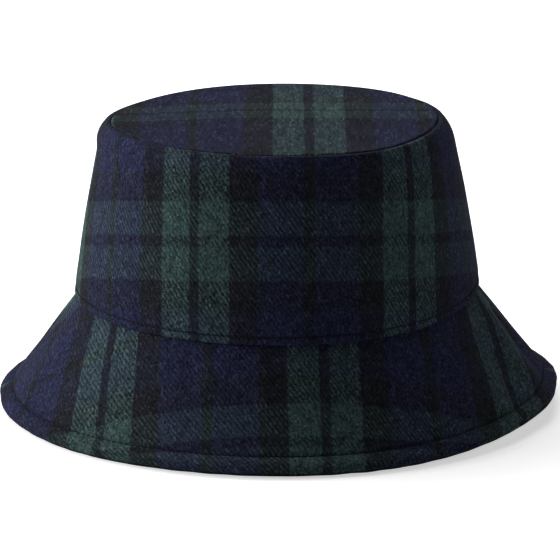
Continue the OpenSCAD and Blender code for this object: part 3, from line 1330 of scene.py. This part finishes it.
@dataclass
class SideCrown:
    """Wall of the crown in a front and a back half, seamed at the sides."""

    room: Workroom
    check_u: float = -37.2
    check_v: float = 45.1
    bow: float = 1.12
    relief_height: float = 0.16
    seam_round: float = 1.3
    half_dip: float = 1.5

    def outline(self) -> Outline:
        """Section of the wall: folded hem, stitched edge, wall, shoulder and the roll into its seam.

        Returns:
            The closed outline.
        """
        z = self.room.sizes
        t, lean, roll = z.wool_t, z.crown_lean, z.roll_centre
        fold, inside = z.wall(t, z.level(t)), roll[0] - z.edge_roll_r
        start = (fold[0] + t * cos(lean), fold[1] + t * sin(lean))
        dip = [
            z.wall(z.edge_stitch_h + self.half_dip * k / 6, z.level(z.stitch_sink * bell(k / 6)))
            for k in range(-6, 7)
        ]
        return Outline.trace(
            [
                (arc(fold, t, 180 + lean, 360 + lean, 8), AS_DRAWN, 0),
                ([start, dip[0]], 0.9, 0.3),
                (dip, AS_DRAWN, 0),
                ([dip[-1], z.wall(z.wall_top_h, 0)], 1.7, 1),
                (arc(z.shoulder_centre, z.shoulder_r, lean, z.shoulder_turn, 10), AS_DRAWN, 1),
                (arc(roll, z.edge_roll_r, z.shoulder_turn, 90, 5), AS_DRAWN, 0.2),
                (arc(roll, z.edge_roll_r, 90, 180, 8, PRESSED), AS_DRAWN, 0),
                ([(inside, z.flange_h), (inside + t, z.flange_h)], 1.5, 0),
                (arc(roll, z.edge_roll_r - t, 180, z.shoulder_turn, 6), AS_DRAWN, 0),
                (arc(z.shoulder_centre, z.shoulder_r - t, z.shoulder_turn, lean, 6), AS_DRAWN, 0),
                ([z.wall(z.wall_top_h, z.level(t)), z.wall(z.hem_top, z.level(t))], 6, 0),
                ([z.wall(z.hem_top, z.hem_depth), (fold[0] - t * cos(lean), fold[1] - t * sin(lean))], 6, 0),
            ],
            start=1,
        )

    def build(self, half: Half) -> Object:
        """One half of the wall.

        Args:
            half: The half to make.

        Returns:
            The finished object.
        """
        z = self.room.sizes
        rough = Waves(31 + half.value, 5, 26, 34)
        slant = sin(z.crown_lean) * self.bow
        cut = Cut(z.oval, z.half_w, slant, half.value * math.pi / 2, self.check_u, self.check_v, True)
        shape = PanelShape(
            self.room,
            self.outline(),
            cut,
            half,
            edge_round=self.seam_round,
            relief=partial(rough.scaled, self.relief_height),
        )
        wall = shape.build(f"wall_{half.label}", self.room.wool)
        return self.room.dress(wall, "wool_check", f"side_crown_{half.label}")

    def backing(self, half: Half) -> Object:
        """Soft backing of one half of the wall.

        Args:
            half: The half to make.

        Returns:
            The finished object.
        """
        z = self.room.sizes
        t, reach, turned = z.wool_t + z.ply_gap, z.shoulder_r - z.wool_t - z.ply_gap, z.shoulder_turn * 0.8
        foot, face = z.hem_top + z.ply_gap, z.level(t)
        outline = Outline.trace(
            [
                ([z.wall(foot, face), z.wall(z.wall_top_h, face)], 8, 0),
                (arc(z.shoulder_centre, reach, z.crown_lean, turned, 5), AS_DRAWN, 0),
                (arc(z.shoulder_centre, reach - z.wadding_t, turned, z.crown_lean, 5), AS_DRAWN, 0),
                ([z.wall(foot, z.level(t + z.wadding_t))], 8, 0),
            ],
            start=0,
        )
        cut = Cut(z.oval, z.half_w, sin(z.crown_lean), half.value * math.pi / 2, 0, 0)
        shape = PanelShape(self.room, outline, cut, half, steps=96)
        backing = shape.build(f"wall_backing_{half.label}", self.room.wadding)
        return self.room.dress(backing, "wadding", f"side_interlining_{half.label}")


@dataclass
class Brim:
    """Sloping brim: two plies of wool on a stiffener, stitched inside their folded edges."""

    room: Workroom
    check_u: float = 21.2
    check_v: float = -45.0
    off_grain: float = 1.2
    flare_ease: float = 0.90
    relief_height: float = 0.17
    seam_round: float = 1.2
    sink: float = 0.6
    half_dip: float = 1.6
    puff: float = 1.4
    climb: float = 4.2
    strip_foot: float = 0.33
    strip_calm: float = 0.5
    strip_puffs: float = 0.8
    puffs_from: float = 4.0
    lap_step: float = 0.6
    dip_steps: int = 6
    climb_steps: int = 8

    def outline(self, ply: Ply) -> Outline:
        """Section of one ply, with its allowance up inside the crown and its lap inside the edge.

        Args:
            ply: The ply to draw.

        Returns:
            The closed outline.
        """
        z, side = self.room.sizes, ply.value
        t = z.level(z.wool_t)
        outer, inner = z.upper_depth, z.upper_depth + t
        if ply is Ply.BASE:
            outer, inner = z.under_depth + t, z.under_depth
        crease = z.meet(outer, side * z.ply_out)
        swell = z.strip_out + self.puff - z.ply_out
        foot = self.strip_foot * swell
        dip = []
        for k in range(-self.dip_steps, self.dip_steps + 1):
            place = k / self.dip_steps
            off = z.ply_out - self.sink * bell(place) + foot * max(place, 0)
            dip.append(z.brim(z.stitch_run + self.half_dip * place, side * off))
        strip = []
        for k in range(self.climb_steps + 1):
            place = k / self.climb_steps
            off = z.ply_out + foot + (swell - foot) * math.sin(math.pi / 2 * place)
            strip.append(z.brim(z.stitch_run + self.half_dip + self.climb * place, side * off))
        bead = z.brim(z.bead_run, side * (z.ply_gap / 2 + z.bead_r))
        edge = arc(bead, z.bead_r, side * 90 - z.brim_fall, -side * 90 - z.brim_fall, 12)
        lap = [
            z.brim(z.stitch_run + 2 * self.lap_step, side * z.ply_gap / 2),
            z.brim(z.stitch_run + self.lap_step, side * z.ply_in),
        ]
        stretches = [
            ([z.wall(z.hem_top, outer), crease], 2.5, 0),
            ([crease, dip[0]], 1.7, 1),
            (dip, AS_DRAWN, 0),
            (strip, AS_DRAWN, 0.4),
            ([strip[-1], edge[0]], 1.2, 1),
            (edge, AS_DRAWN, 0.5),
            ([edge[-1], lap[0]], 2.5, 0),
            (lap, AS_DRAWN, 0),
            ([lap[1], z.meet(inner, side * z.ply_in)], 6, 0),
            ([z.wall(z.hem_top, inner)], 6, 0),
        ]
        if ply is Ply.BASE:
            found = Outline.trace(stretches, start=1)
            found.run = -found.run
            return found
        turned = [(list(reversed(points)), step, share) for points, step, share in reversed(stretches)]
        return Outline.trace(turned, start=len(turned) - 1)

    def build(self, ply: Ply, half: Half) -> Object:
        """Half of one ply.

        Args:
            ply: The ply to make.
            half: The half to make.

        Returns:
            The finished object.
        """
        z = self.room.sizes
        rough = Waves(51 + 3 * ply.value + half.value, 8, 34, 26)
        puffs = Waves(71 + 3 * ply.value + half.value, 30, 64, 40)
        slant = cos(z.brim_fall) * self.flare_ease
        middle = half.value * math.pi / 2
        base_w = z.half_w - z.wool_t
        cut = Cut(z.oval, base_w, slant, middle, self.check_u, self.check_v, off_grain=self.off_grain)

        def relief(turn: Array, run: Array) -> Array:
            """Unevenness of the face, with short puffs in the stitched strip.

            Args:
                turn: Turn about the oval, in radians.
                run: Run of the outline.

            Returns:
                How far the face stands out.
            """
            in_strip = level_edge(-run, z.stitch_run, z.stitch_run + self.puffs_from)
            face = rough.at(turn, run) * (1 - self.strip_calm * in_strip)
            return self.relief_height * (face + self.strip_puffs * puffs.at(turn, run) * in_strip)

        outline = self.outline(ply)
        shape = PanelShape(self.room, outline, cut, half, edge_round=self.seam_round, relief=relief)
        piece = shape.build(f"brim_{ply.name.lower()}_{half.label}", self.room.wool)
        side = "upper" if ply is Ply.TOP else "under"
        return self.room.dress(piece, "wool_check", f"brim_{side}_{half.label}")

    def stiffener(self) -> Object:
        """Stiffening layer between the plies.

        Returns:
            The finished object.
        """
        z = self.room.sizes
        half_t, start, end = z.stiffener_t / 2, 2 * z.wool_t, z.stitch_run
        corners = [z.brim(start, -half_t), z.brim(end, -half_t), z.brim(end, half_t), z.brim(start, half_t)]
        outline = Outline.trace([(corners, 5, 0)], start=0)
        cut = Cut(z.oval, z.brim_origin[0], cos(z.brim_fall), -math.pi / 2, 0, 0)
        layer = PanelShape(self.room, outline, cut, steps=120).build("brim_stiffener", self.room.stiffener)
        return self.room.dress(layer, "stiffener", "brim_interlining")


@dataclass
class Lining:
    """Satin lining of the crown: two side pieces and a disc, with the backing of the top above it."""

    room: Workroom
    pucker: float = 0.1

    def wall(self, half: Half) -> Object:
        """Half of the lining's side.

        Args:
            half: The half to make.

        Returns:
            The finished object.
        """
        z = self.room.sizes
        foot, top, depth = z.lining_foot[1], z.lining_top_h, z.lining_t / cos(z.lining_lean)
        outline = Outline.trace(
            [
                ([z.lined(foot, 0), z.lined(top, 0)], 6, 0),
                ([z.lined(top, depth), z.lined(z.band_top + 1, depth)], 1.6, 1),
                ([z.lined(z.band_top, depth), z.lined(foot, depth)], 6, 0),
            ],
            start=0,
        )
        fine = Waves(91 + half.value, 10, 40, 60)
        cut = Cut(z.oval, z.lining_foot[0], sin(z.lining_lean), half.value * math.pi / 2, 0, 0)
        relief = partial(fine.scaled, self.pucker)
        shape = PanelShape(self.room, outline, cut, half, steps=200, relief=relief)
        side = shape.build(f"lining_wall_{half.label}", self.room.satin)
        return self.room.dress(side, "satin_lining", f"lining_side_{half.label}")

    def top(self) -> None:
        """Disc of the lining and the backing of the top panel."""
        z = self.room.sizes
        tip = TipPanel(self.room, 0, 0, steps=120)
        half_w = z.lined(z.lining_top_h, 0)[0]
        under = z.lining_top_h + z.ply_gap
        disc = tip.flat("lining_disc", half_w, under, under + z.lining_t, self.room.satin)
        self.room.dress(disc, "satin_lining", "lining_tip")
        high = z.tip_h - z.wool_t - z.ply_gap
        half_w = z.tip_edge_w - z.edge_roll_r - z.wool_t
        backing = tip.flat("tip_backing", half_w, high - z.wadding_t, high, self.room.wadding)
        self.room.dress(backing, "wadding", "tip_interlining")


class LayTree(NodeKit):
    """Geometry Nodes tree with named inputs, laid over an object and turned into a plain mesh."""

    NAME = ""
    INPUTS: tuple[tuple[str, str], ...] = ()

    def __init__(self) -> None:
        """Builds the tree."""
        super().__init__(bpy.data.node_groups.new(self.NAME, "GeometryNodeTree"))
        face = self.tree.interface
        face.new_socket("Geometry", in_out="INPUT", socket_type="NodeSocketGeometry")
        self.sockets = {
            name: face.new_socket(name, in_out="INPUT", socket_type="NodeSocket" + kind).identifier
            for name, kind in self.INPUTS
        }
        face.new_socket("Geometry", in_out="OUTPUT", socket_type="NodeSocketGeometry")
        self._wire(self.add("NodeGroupInput").outputs)

    def _wire(self, given: bpy.types.NodeOutputs) -> None:
        """Makes the nodes and their links from what the group is given."""
        raise NotImplementedError

    def _end(self, result: object, material: Socket) -> None:
        """Makes the result real, gives it its material and sends it out.

        Args:
            result: The node of the geometry.
            material: Its material.
        """
        real = self.add("GeometryNodeRealizeInstances", {0: result})
        dyed = self.add("GeometryNodeSetMaterial", {"Geometry": real, "Material": material})
        self.add("NodeGroupOutput", {0: dyed})

    def lay(self, base: Object, values: dict[str, object]) -> bpy.types.Mesh:
        """Plain mesh that the tree makes of an object, which is removed.

        Args:
            base: The object that the tree works on.
            values: Values of the tree's inputs, by name.

        Returns:
            The new mesh.
        """
        lay = base.modifiers.new(self.NAME, "NODES")
        lay.node_group = self.tree
        for name, value in values.items():
            lay[self.sockets[name]] = value
        bpy.context.view_layer.update()
        ready = base.evaluated_get(bpy.context.evaluated_depsgraph_get())
        mesh = bpy.data.meshes.new_from_object(ready)
        base.modifiers.remove(lay)
        bpy.data.objects.remove(base)
        return mesh


class SweepTree(LayTree):
    """Sweeps a closed section over a range of turns, in turn, half width and height."""

    NAME = "ring_sweep"
    INPUTS = (("First turn", "Vector"), ("Last turn", "Vector"), ("Rows", "Int"), ("Cloth", "Material"))

    def _wire(self, given: bpy.types.NodeOutputs) -> None:
        """Makes the nodes and their links.

        Args:
            given: What the group is given.
        """
        section = self.add("GeometryNodeMeshToCurve", {"Mesh": given["Geometry"]})
        ends = {"Start": given["First turn"], "End": given["Last turn"]}
        line = self.add("GeometryNodeCurvePrimitiveLine", ends)
        rows = self.add("GeometryNodeResampleCurve", {"Curve": line, "Count": given["Rows"]})
        level = self.add("GeometryNodeSetCurveNormal", {"Curve": rows}, mode="Z_UP")
        swept = {"Curve": level, "Profile Curve": section, "Fill Caps": True}
        self._end(self.add("GeometryNodeCurveToMesh", swept), given["Cloth"])


class StitchTree(LayTree):
    """Lays one line of stitches along a path that says which way the cloth faces."""

    NAME = "stitch_line"
    INPUTS = (
        ("Stitches", "Int"),
        ("Stitch length", "Float"),
        ("Thread radius", "Float"),
        ("Sink", "Float"),
        ("Lean", "Float"),
        ("Seed", "Int"),
        ("Thread", "Material"),
    )
    ROUND_STEPS = 6
    WOBBLE = 0.05

    def _vector(self, **parts: object) -> Node:
        """Vector of the given parts."""
        return self.add("ShaderNodeCombineXYZ", parts)

    def _stitch(self, given: bpy.types.NodeOutputs) -> Node:
        """One stitch: a bow of thread with both its ends sunk into the cloth.

        Args:
            given: What the group is given.

        Returns:
            The node of its mesh.
        """
        half, low = self.times(given["Stitch length"], 0.5), self.times(given["Sink"], -1.0)
        bow = {
            "Resolution": self.ROUND_STEPS,
            "Start": self._vector(X=self.times(half, -1.0), Z=low),
            "Middle": self._vector(Z=given["Sink"]),
            "End": self._vector(X=half, Z=low),
        }
        ring = {"Resolution": self.ROUND_STEPS, "Radius": given["Thread radius"]}
        swept = {
            "Curve": self.add("GeometryNodeCurveQuadraticBezier", bow),
            "Profile Curve": self.add("GeometryNodeCurvePrimitiveCircle", ring),
            "Fill Caps": True,
        }
        return self.add("GeometryNodeCurveToMesh", swept)

    def _turned(self, given: bpy.types.NodeOutputs) -> Node:
        """How each stitch lies: along the path, square to the cloth and a little askew.

        Args:
            given: What the group is given.

        Returns:
            The node of its rotation.
        """
        align = "FunctionNodeAlignRotationToVector"
        along = self.add(align, {"Vector": self.add("GeometryNodeInputTangent")}, axis="X")
        up = self.add("GeometryNodeInputNamedAttribute", {"Name": FACE_UP}, data_type="FLOAT_VECTOR")
        square = self.add(align, {"Rotation": along, "Vector": up}, axis="Z", pivot_axis="X")
        limits = {"Min": -self.WOBBLE, "Max": self.WOBBLE, "Seed": given["Seed"]}
        wobble = self.add("FunctionNodeRandomValue", limits, data_type="FLOAT").outputs[1]
        yaw = self._vector(Z=self.math("ADD", wobble, given["Lean"]))
        spin = self.add("FunctionNodeEulerToRotation", {0: yaw})
        return self.add("FunctionNodeRotateRotation", {0: square, 1: spin}, rotation_space="LOCAL")

    def _wire(self, given: bpy.types.NodeOutputs) -> None:
        """Makes the nodes and their links.

        Args:
            given: What the group is given.
        """
        path = self.add("GeometryNodeMeshToCurve", {"Mesh": given["Geometry"]})
        spaced = self.add("GeometryNodeResampleCurve", {"Curve": path, "Count": given["Stitches"]})
        laid = {"Points": spaced, "Instance": self._stitch(given), "Rotation": self._turned(given)}
        self._end(self.add("GeometryNodeInstanceOnPoints", laid), given["Thread"])


@dataclass
class Sweatband:
    """Band that lies on the head, butted at the back."""

    room: Workroom
    rows: int = 361
    edge_r: float = 0.2

    def outline(self) -> Outline:
        """Section of the band, with rounded edges.

        Returns:
            The closed outline.
        """
        z, r = self.room.sizes, self.edge_r
        foot = z.lining_foot[1]
        depth = (z.lining_t + z.ply_gap) / cos(z.lining_lean)
        inner = depth + z.band_t / cos(z.lining_lean)
        top = z.band_top
        low_edge = [(foot + r, inner), (foot, inner - r), (foot, depth + r), (foot + r, depth)]
        high_edge = [(top, depth + r), (top, inner - r), (top - r, inner)]
        stretches = (
            (low_edge, AS_DRAWN),
            ([(foot + r, depth), (top - r, depth)], 4),
            (high_edge, AS_DRAWN),
            ([(top - r, inner), (foot + r, inner)], 1.6),
        )
        return Outline.trace([([z.lined(*place) for place in line], step, 0) for line, step in stretches], 0)

    def build(self) -> Object:
        """The band, swept over its turns by Geometry Nodes and then settled with the other layers.

        Returns:
            The finished object.
        """
        z, outline = self.room.sizes, self.outline()
        end_r = z.half_w + z.longer / 2 - z.oval.end_shift
        gap = z.band_joint / 2 / end_r
        corners = outline.points[:-1]
        count = len(corners)
        base = bpy.data.meshes.new("section")
        base.from_pydata([(-x, -h, 0) for x, h in corners], [(j, (j + 1) % count) for j in range(count)], [])
        values = {
            "First turn": (-1.5 * math.pi + gap, 0, 0),
            "Last turn": (math.pi / 2 - gap, 0, 0),
            "Rows": self.rows,
            "Cloth": self.room.band,
        }
        swept = SweepTree().lay(link(bpy.data.objects.new("section", base)), values)
        bm = bmesh.new()
        bm.from_mesh(swept)
        turns, half_w, height = np.array([v.co for v in bm.verts]).T
        row_turns = turns[::count]
        radius = z.lining_foot[0] + z.oval.reach(row_turns)
        along = np.repeat(np.cumsum(radius * np.gradient(row_turns)), count)
        runs = np.tile(outline.run[:-1], self.rows)
        layer = bm.loops.layers.uv.new(CLOTH_UV)
        for face in bm.faces:
            for loop in face.loops:
                i = loop.vert.index
                loop[layer].uv = (along[i] * MM, runs[i] * MM)
        for vert, place in zip(bm.verts, self.room.settle(turns, half_w, height)):
            vert.co = place
        band = finish_mesh("inner_band", bm, self.room.band)
        return self.room.dress(band, "sweatband_twill", "sweatband")


@dataclass
class CareLabel:
    """Blank folded label, sewn by one edge above the sweatband on the left."""

    room: Workroom
    curl: float = 0.5
    fold_w: float = 1.2
    ply_share: float = 0.44
    open_turn: float = 1.5
    steps: int = 12

    def build(self) -> Object:
        """The label, lying back along the lining.

        Returns:
            The finished object.
        """
        z = self.room.sizes
        half_t = z.label_t / 2
        ply = self.ply_share * z.label_t
        fold = arc((z.label_w - half_t, 0), half_t, -90, 90, 6)
        outer = [(w, -half_t) for w in np.linspace(0, z.label_w - half_t, self.steps + 1)]
        inner = [(w, half_t) for w in np.linspace(z.label_w - half_t, 0, self.steps + 1)]
        deep, face = z.label_w - self.fold_w, half_t - ply
        slit = [(0, face), (deep, face), (deep, -face), (0, -face)]
        outline = Outline.trace([(line, AS_DRAWN, 0) for line in (outer, fold, inner, slit)], start=0)
        rise = np.linspace(0, z.label_h, self.steps + 1)[:, None]
        w, off = outline.points[None, :, 0], outline.points[None, :, 1]
        bow = self.curl * (w / z.label_w) ** 2 * np.sin(math.pi * rise / z.label_h)
        local = np.stack([off + bow, w + 0 * rise, rise + 0 * w], -1)
        foot = z.lining_foot[1] + z.band_h + z.allowance / 2
        hinge = z.lined(foot, z.lining_t / cos(z.lining_lean) + z.label_clear + half_t)
        lining_r = z.lined(z.lining_top_h, 0)[0] + z.longer
        rest = math.atan(z.label_w / (2 * lining_r)) + math.radians(self.open_turn)
        place = (
            Matrix.Translation((-hinge[0], 0, z.seam_h + hinge[1]))
            @ Matrix.Rotation(math.radians(z.lining_lean), 4, "Y")
            @ Matrix.Rotation(-rest, 4, "Z")
        )
        spin = np.array(place.to_3x3())
        points = (local @ spin.T + np.array(place.translation)) * MM
        uv = np.stack([w + 0 * rise, rise + 0 * w], -1) * MM
        label = skin("care_ribbon", points, uv, self.room.ribbon, around=False)
        self.room.dress(label, "label_ribbon", "care_label", body="label")
        return label


@dataclass
class StitchLine:
    """One line of stitches round the hat."""

    room: Workroom
    node: str
    point: Point
    facing: float
    pitch: float = 3.2
    length: float = 2.5
    radius: float = 0.22
    sink: float = 0.3
    lean: float = 0.0
    path_points: int = 480

    def path(self) -> tuple[Object, float]:
        """Closed line of points that carries the way the cloth faces.

        Returns:
            The line and its length in mm.
        """
        turns = np.linspace(-math.pi, math.pi, self.path_points, endpoint=False)
        half_w, height = self.point
        points = self.room.settle(turns, np.full_like(turns, half_w), np.full_like(turns, height))
        mesh = bpy.data.meshes.new("path")
        count = self.path_points
        mesh.from_pydata(points.tolist(), [(i, (i + 1) % count) for i in range(count)], [])
        out = cos(self.facing)
        up = np.stack([np.cos(turns) * out, np.sin(turns) * out, 0 * turns + sin(self.facing)], -1)
        attribute = mesh.attributes.new(FACE_UP, "FLOAT_VECTOR", "POINT")
        attribute.data.foreach_set("vector", up.astype(np.float32).ravel())
        around = float(np.linalg.norm(np.roll(points, -1, 0) - points, axis=1).sum()) / MM
        return link(bpy.data.objects.new("path", mesh)), around

    def build(self, tree: StitchTree, seed: int) -> Object:
        """The stitches as a plain mesh.

        Args:
            tree: The nodes that lay them.
            seed: Seed of their small unevenness.

        Returns:
            The finished object.
        """
        path, around = self.path()
        values = {
            "Stitches": round(around / self.pitch),
            "Stitch length": self.length * MM,
            "Thread radius": self.radius * MM,
            "Sink": self.sink * MM,
            "Lean": self.lean,
            "Seed": seed,
            "Thread": self.room.thread,
        }
        mesh = tree.lay(path, values)
        mesh.polygons.foreach_set("use_smooth", [True] * len(mesh.polygons))
        line = link(bpy.data.objects.new(f"stitches_{self.node}", mesh))
        return self.room.dress(line, "sewing_thread", self.node)


@dataclass
class Stitching:
    """Every line of stitches on the hat."""

    room: Workroom
    clear: float = 0.05

    def lines(self) -> list[StitchLine]:
        """The lines, each in its place on the section.

        Returns:
            The lines, ready to be laid.
        """
        z, r, clear = self.room.sizes, self.room.sizes.thread_r, self.clear
        fall = z.brim_fall
        tip = (z.tip_edge_w - z.wool_t - clear - r, z.flange_h + 0.7 * z.allowance)
        down, off = 3 * r, r + clear
        (x, h), c, s = z.crease, cos(fall), sin(fall)
        seam = (x + down * c - off * s, h - down * s - off * c)
        edge = z.wall(z.edge_stitch_h, z.level(z.stitch_sink - r - clear))
        grown = z.bead_r + z.ply_gap / 2
        rim = z.brim(z.bead_run + math.sqrt((z.bead_r + r + clear) ** 2 - grown ** 2), 0)
        lie = z.ply_out - Brim.sink + r
        upper, under = z.brim(z.stitch_run, lie), z.brim(z.stitch_run, -lie)
        band_depth = (z.lining_t + z.ply_gap + z.band_t) / cos(z.lining_lean) + r + clear
        band = z.lined(z.lining_foot[1] + z.band_stitch_h, band_depth)
        lining = z.lined(z.lining_top_h - 2 * r, z.lining_t + r + 2 * clear)
        return [
            StitchLine(self.room, "tip_seam_thread", tip, 180),
            StitchLine(self.room, "brim_seam_thread", seam, -90 - fall),
            StitchLine(self.room, "crown_edge_topstitch", edge, z.crown_lean),
            StitchLine(self.room, "rim_seam_thread", rim, -fall, 4.0, 2.2, 0.2, 0.1, 0.9),
            StitchLine(self.room, "brim_topstitch_upper", upper, 90 - fall),
            StitchLine(self.room, "brim_topstitch_under", under, -90 - fall),
            StitchLine(self.room, "sweatband_topstitch", band, 180 + z.lining_lean, radius=0.2),
            StitchLine(self.room, "lining_seam_thread", lining, 180, 2.8, 2.0, 0.18),
        ]

    def build(self) -> None:
        """Lays every line."""
        tree = StitchTree()
        for seed, line in enumerate(self.lines()):
            line.build(tree, seed)


@dataclass(frozen=True)
class Studio:
    """Pale floor, soft lamps and the camera. Lengths are in metres and powers in watts."""

    LAMPS = (
        ("left", (-1.86, -0.3, 0.75), 0.9, 22),
        ("left_back", (-1.77, 0.64, 0.75), 0.9, 26),
        ("high_back", (-0.83, 0.98, 1.6), 0.9, 12),
        ("top", (0.0, 0.35, 2.04), 0.9, 9),
        ("back", (0.1, 1.7, 1.15), 0.9, 7),
        ("right", (1.85, 0.33, 0.75), 0.8, 6),
    )

    distance: float = 2.182
    pitch: float = 13.7
    lens: float = 305.0
    aim_side: float = 0.0014
    aim_above_seam: float = 0.0063
    floor_r: float = 6.0
    floor_grey: tuple[float, float, float, float] = (0.86, 0.86, 0.87, 1.0)
    even_light: float = 0.02
    lamp_aim: float = 0.07

    @staticmethod
    def seen(n: NodeKit, *kinds: str) -> Socket:
        """Whether a ray is one of the named kinds.

        Args:
            n: The nodes of a floor or a world.
            kinds: Kinds of rays, as the light path node names them.

        Returns:
            1 for such a ray and 0 for any other.
        """
        ray = n.add("ShaderNodeLightPath").outputs
        found: object = 0.0
        for kind in kinds:
            found = n.math("MAXIMUM", found, ray[f"Is {kind} Ray"])
        return found

    def floor(self) -> None:
        """Floor that stays white to the camera and keeps the shadow."""
        mesh = bpy.data.meshes.new("floor")
        r = self.floor_r
        mesh.from_pydata([(-r, -r, 0), (r, -r, 0), (r, r, 0), (-r, r, 0)], [], [(0, 1, 2, 3)])
        obj = link(bpy.data.objects.new("floor", mesh))
        n = Nodes("floor")
        n.plain(Base_Color=self.floor_grey, Roughness=0.9, Specular_IOR_Level=0.0, Emission_Color=WHITE)
        place = n.add("ShaderNodeTexCoord").outputs["Object"]
        away = n.add("ShaderNodeVectorMath", {0: place}, operation="LENGTH")
        glow = n.range(away.outputs["Value"], 0.35, 1.6, 0.53, 1.0)
        seen = self.seen(n, "Camera", "Glossy", "Transmission")
        n.feed(n.surface.inputs["Emission Strength"], n.times(seen, glow))
        mesh.materials.append(n.material)

    def world(self) -> None:
        """Even light from all round, with white behind."""
        world = bpy.data.worlds.new("studio")
        bpy.context.scene.world = world
        world.use_nodes = True
        n = NodeKit(world.node_tree)
        n.tree.nodes.clear()
        strength = n.range(self.seen(n, "Camera", "Transmission"), 0.0, 1.0, self.even_light, 1.0)
        back = n.add("ShaderNodeBackground", {"Color": WHITE, "Strength": strength})
        n.add("ShaderNodeOutputWorld", {"Surface": back})

    def lamp(self, name: str, place: tuple[float, float, float], size: float, power: float) -> None:
        """Square soft lamp that faces the hat.

        Args:
            name: Name of the lamp.
            place: Where it hangs, in metres.
            size: Length of its side, in metres.
            power: Its power in watts.
        """
        data = bpy.data.lights.new(name, "AREA")
        data.shape = "SQUARE"
        data.size = size
        data.energy = power
        obj = link(bpy.data.objects.new(name, data))
        obj.location = place
        aim = Vector((0, 0, self.lamp_aim)) - obj.location
        obj.rotation_euler = aim.to_track_quat("-Z", "Y").to_euler()

    def camera(self, seam_h: float) -> None:
        """Camera at the front, a little above the hat.

        Args:
            seam_h: Height of the brim seam, in metres.
        """
        data = bpy.data.cameras.new("camera")
        data.lens = self.lens
        data.sensor_width = 36.0
        data.clip_end = 50.0
        obj = link(bpy.data.objects.new("camera", data))
        aim = Vector((self.aim_side, 0, seam_h + self.aim_above_seam))
        back = Vector((0, -cos(self.pitch), sin(self.pitch)))
        obj.location = aim + back * self.distance
        obj.rotation_euler = (-back).to_track_quat("-Z", "Y").to_euler()
        bpy.context.scene.camera = obj

    def build(self, seam_h: float) -> None:
        """Sets up floor, light and camera.

        Args:
            seam_h: Height of the brim seam, in metres.
        """
        bpy.context.scene.view_settings.view_transform = "Standard"
        self.floor()
        self.world()
        for name, place, size, power in self.LAMPS:
            self.lamp(name, place, size, power)
        self.camera(seam_h)


def main() -> None:
    """Builds the hat piece by piece and then the studio."""
    sizes = HatSizes()
    room = Workroom(
        sizes,
        Drape(sizes),
        WoolCheck().material(),
        WoolCheck("wool_check_tip", hair_run=4.0).material(),
        Satin().material(),
        BandTwill().material(),
        Ribbon().material(),
        Felt("stiffener", (0.27, 0.27, 0.29)).material(),
        Felt("wadding", (0.32, 0.32, 0.33)).material(),
        Thread().material(),
    )
    TipPanel(room).build()
    crown, brim, lining = SideCrown(room), Brim(room), Lining(room)
    for half in Half:
        crown.build(half)
        crown.backing(half)
        for ply in Ply:
            brim.build(ply, half)
        lining.wall(half)
    brim.stiffener()
    lining.top()
    Sweatband(room).build()
    CareLabel(room).build()
    Stitching(room).build()
    Studio().build(sizes.seam_h * MM)


if __name__ == "__main__":
    main()
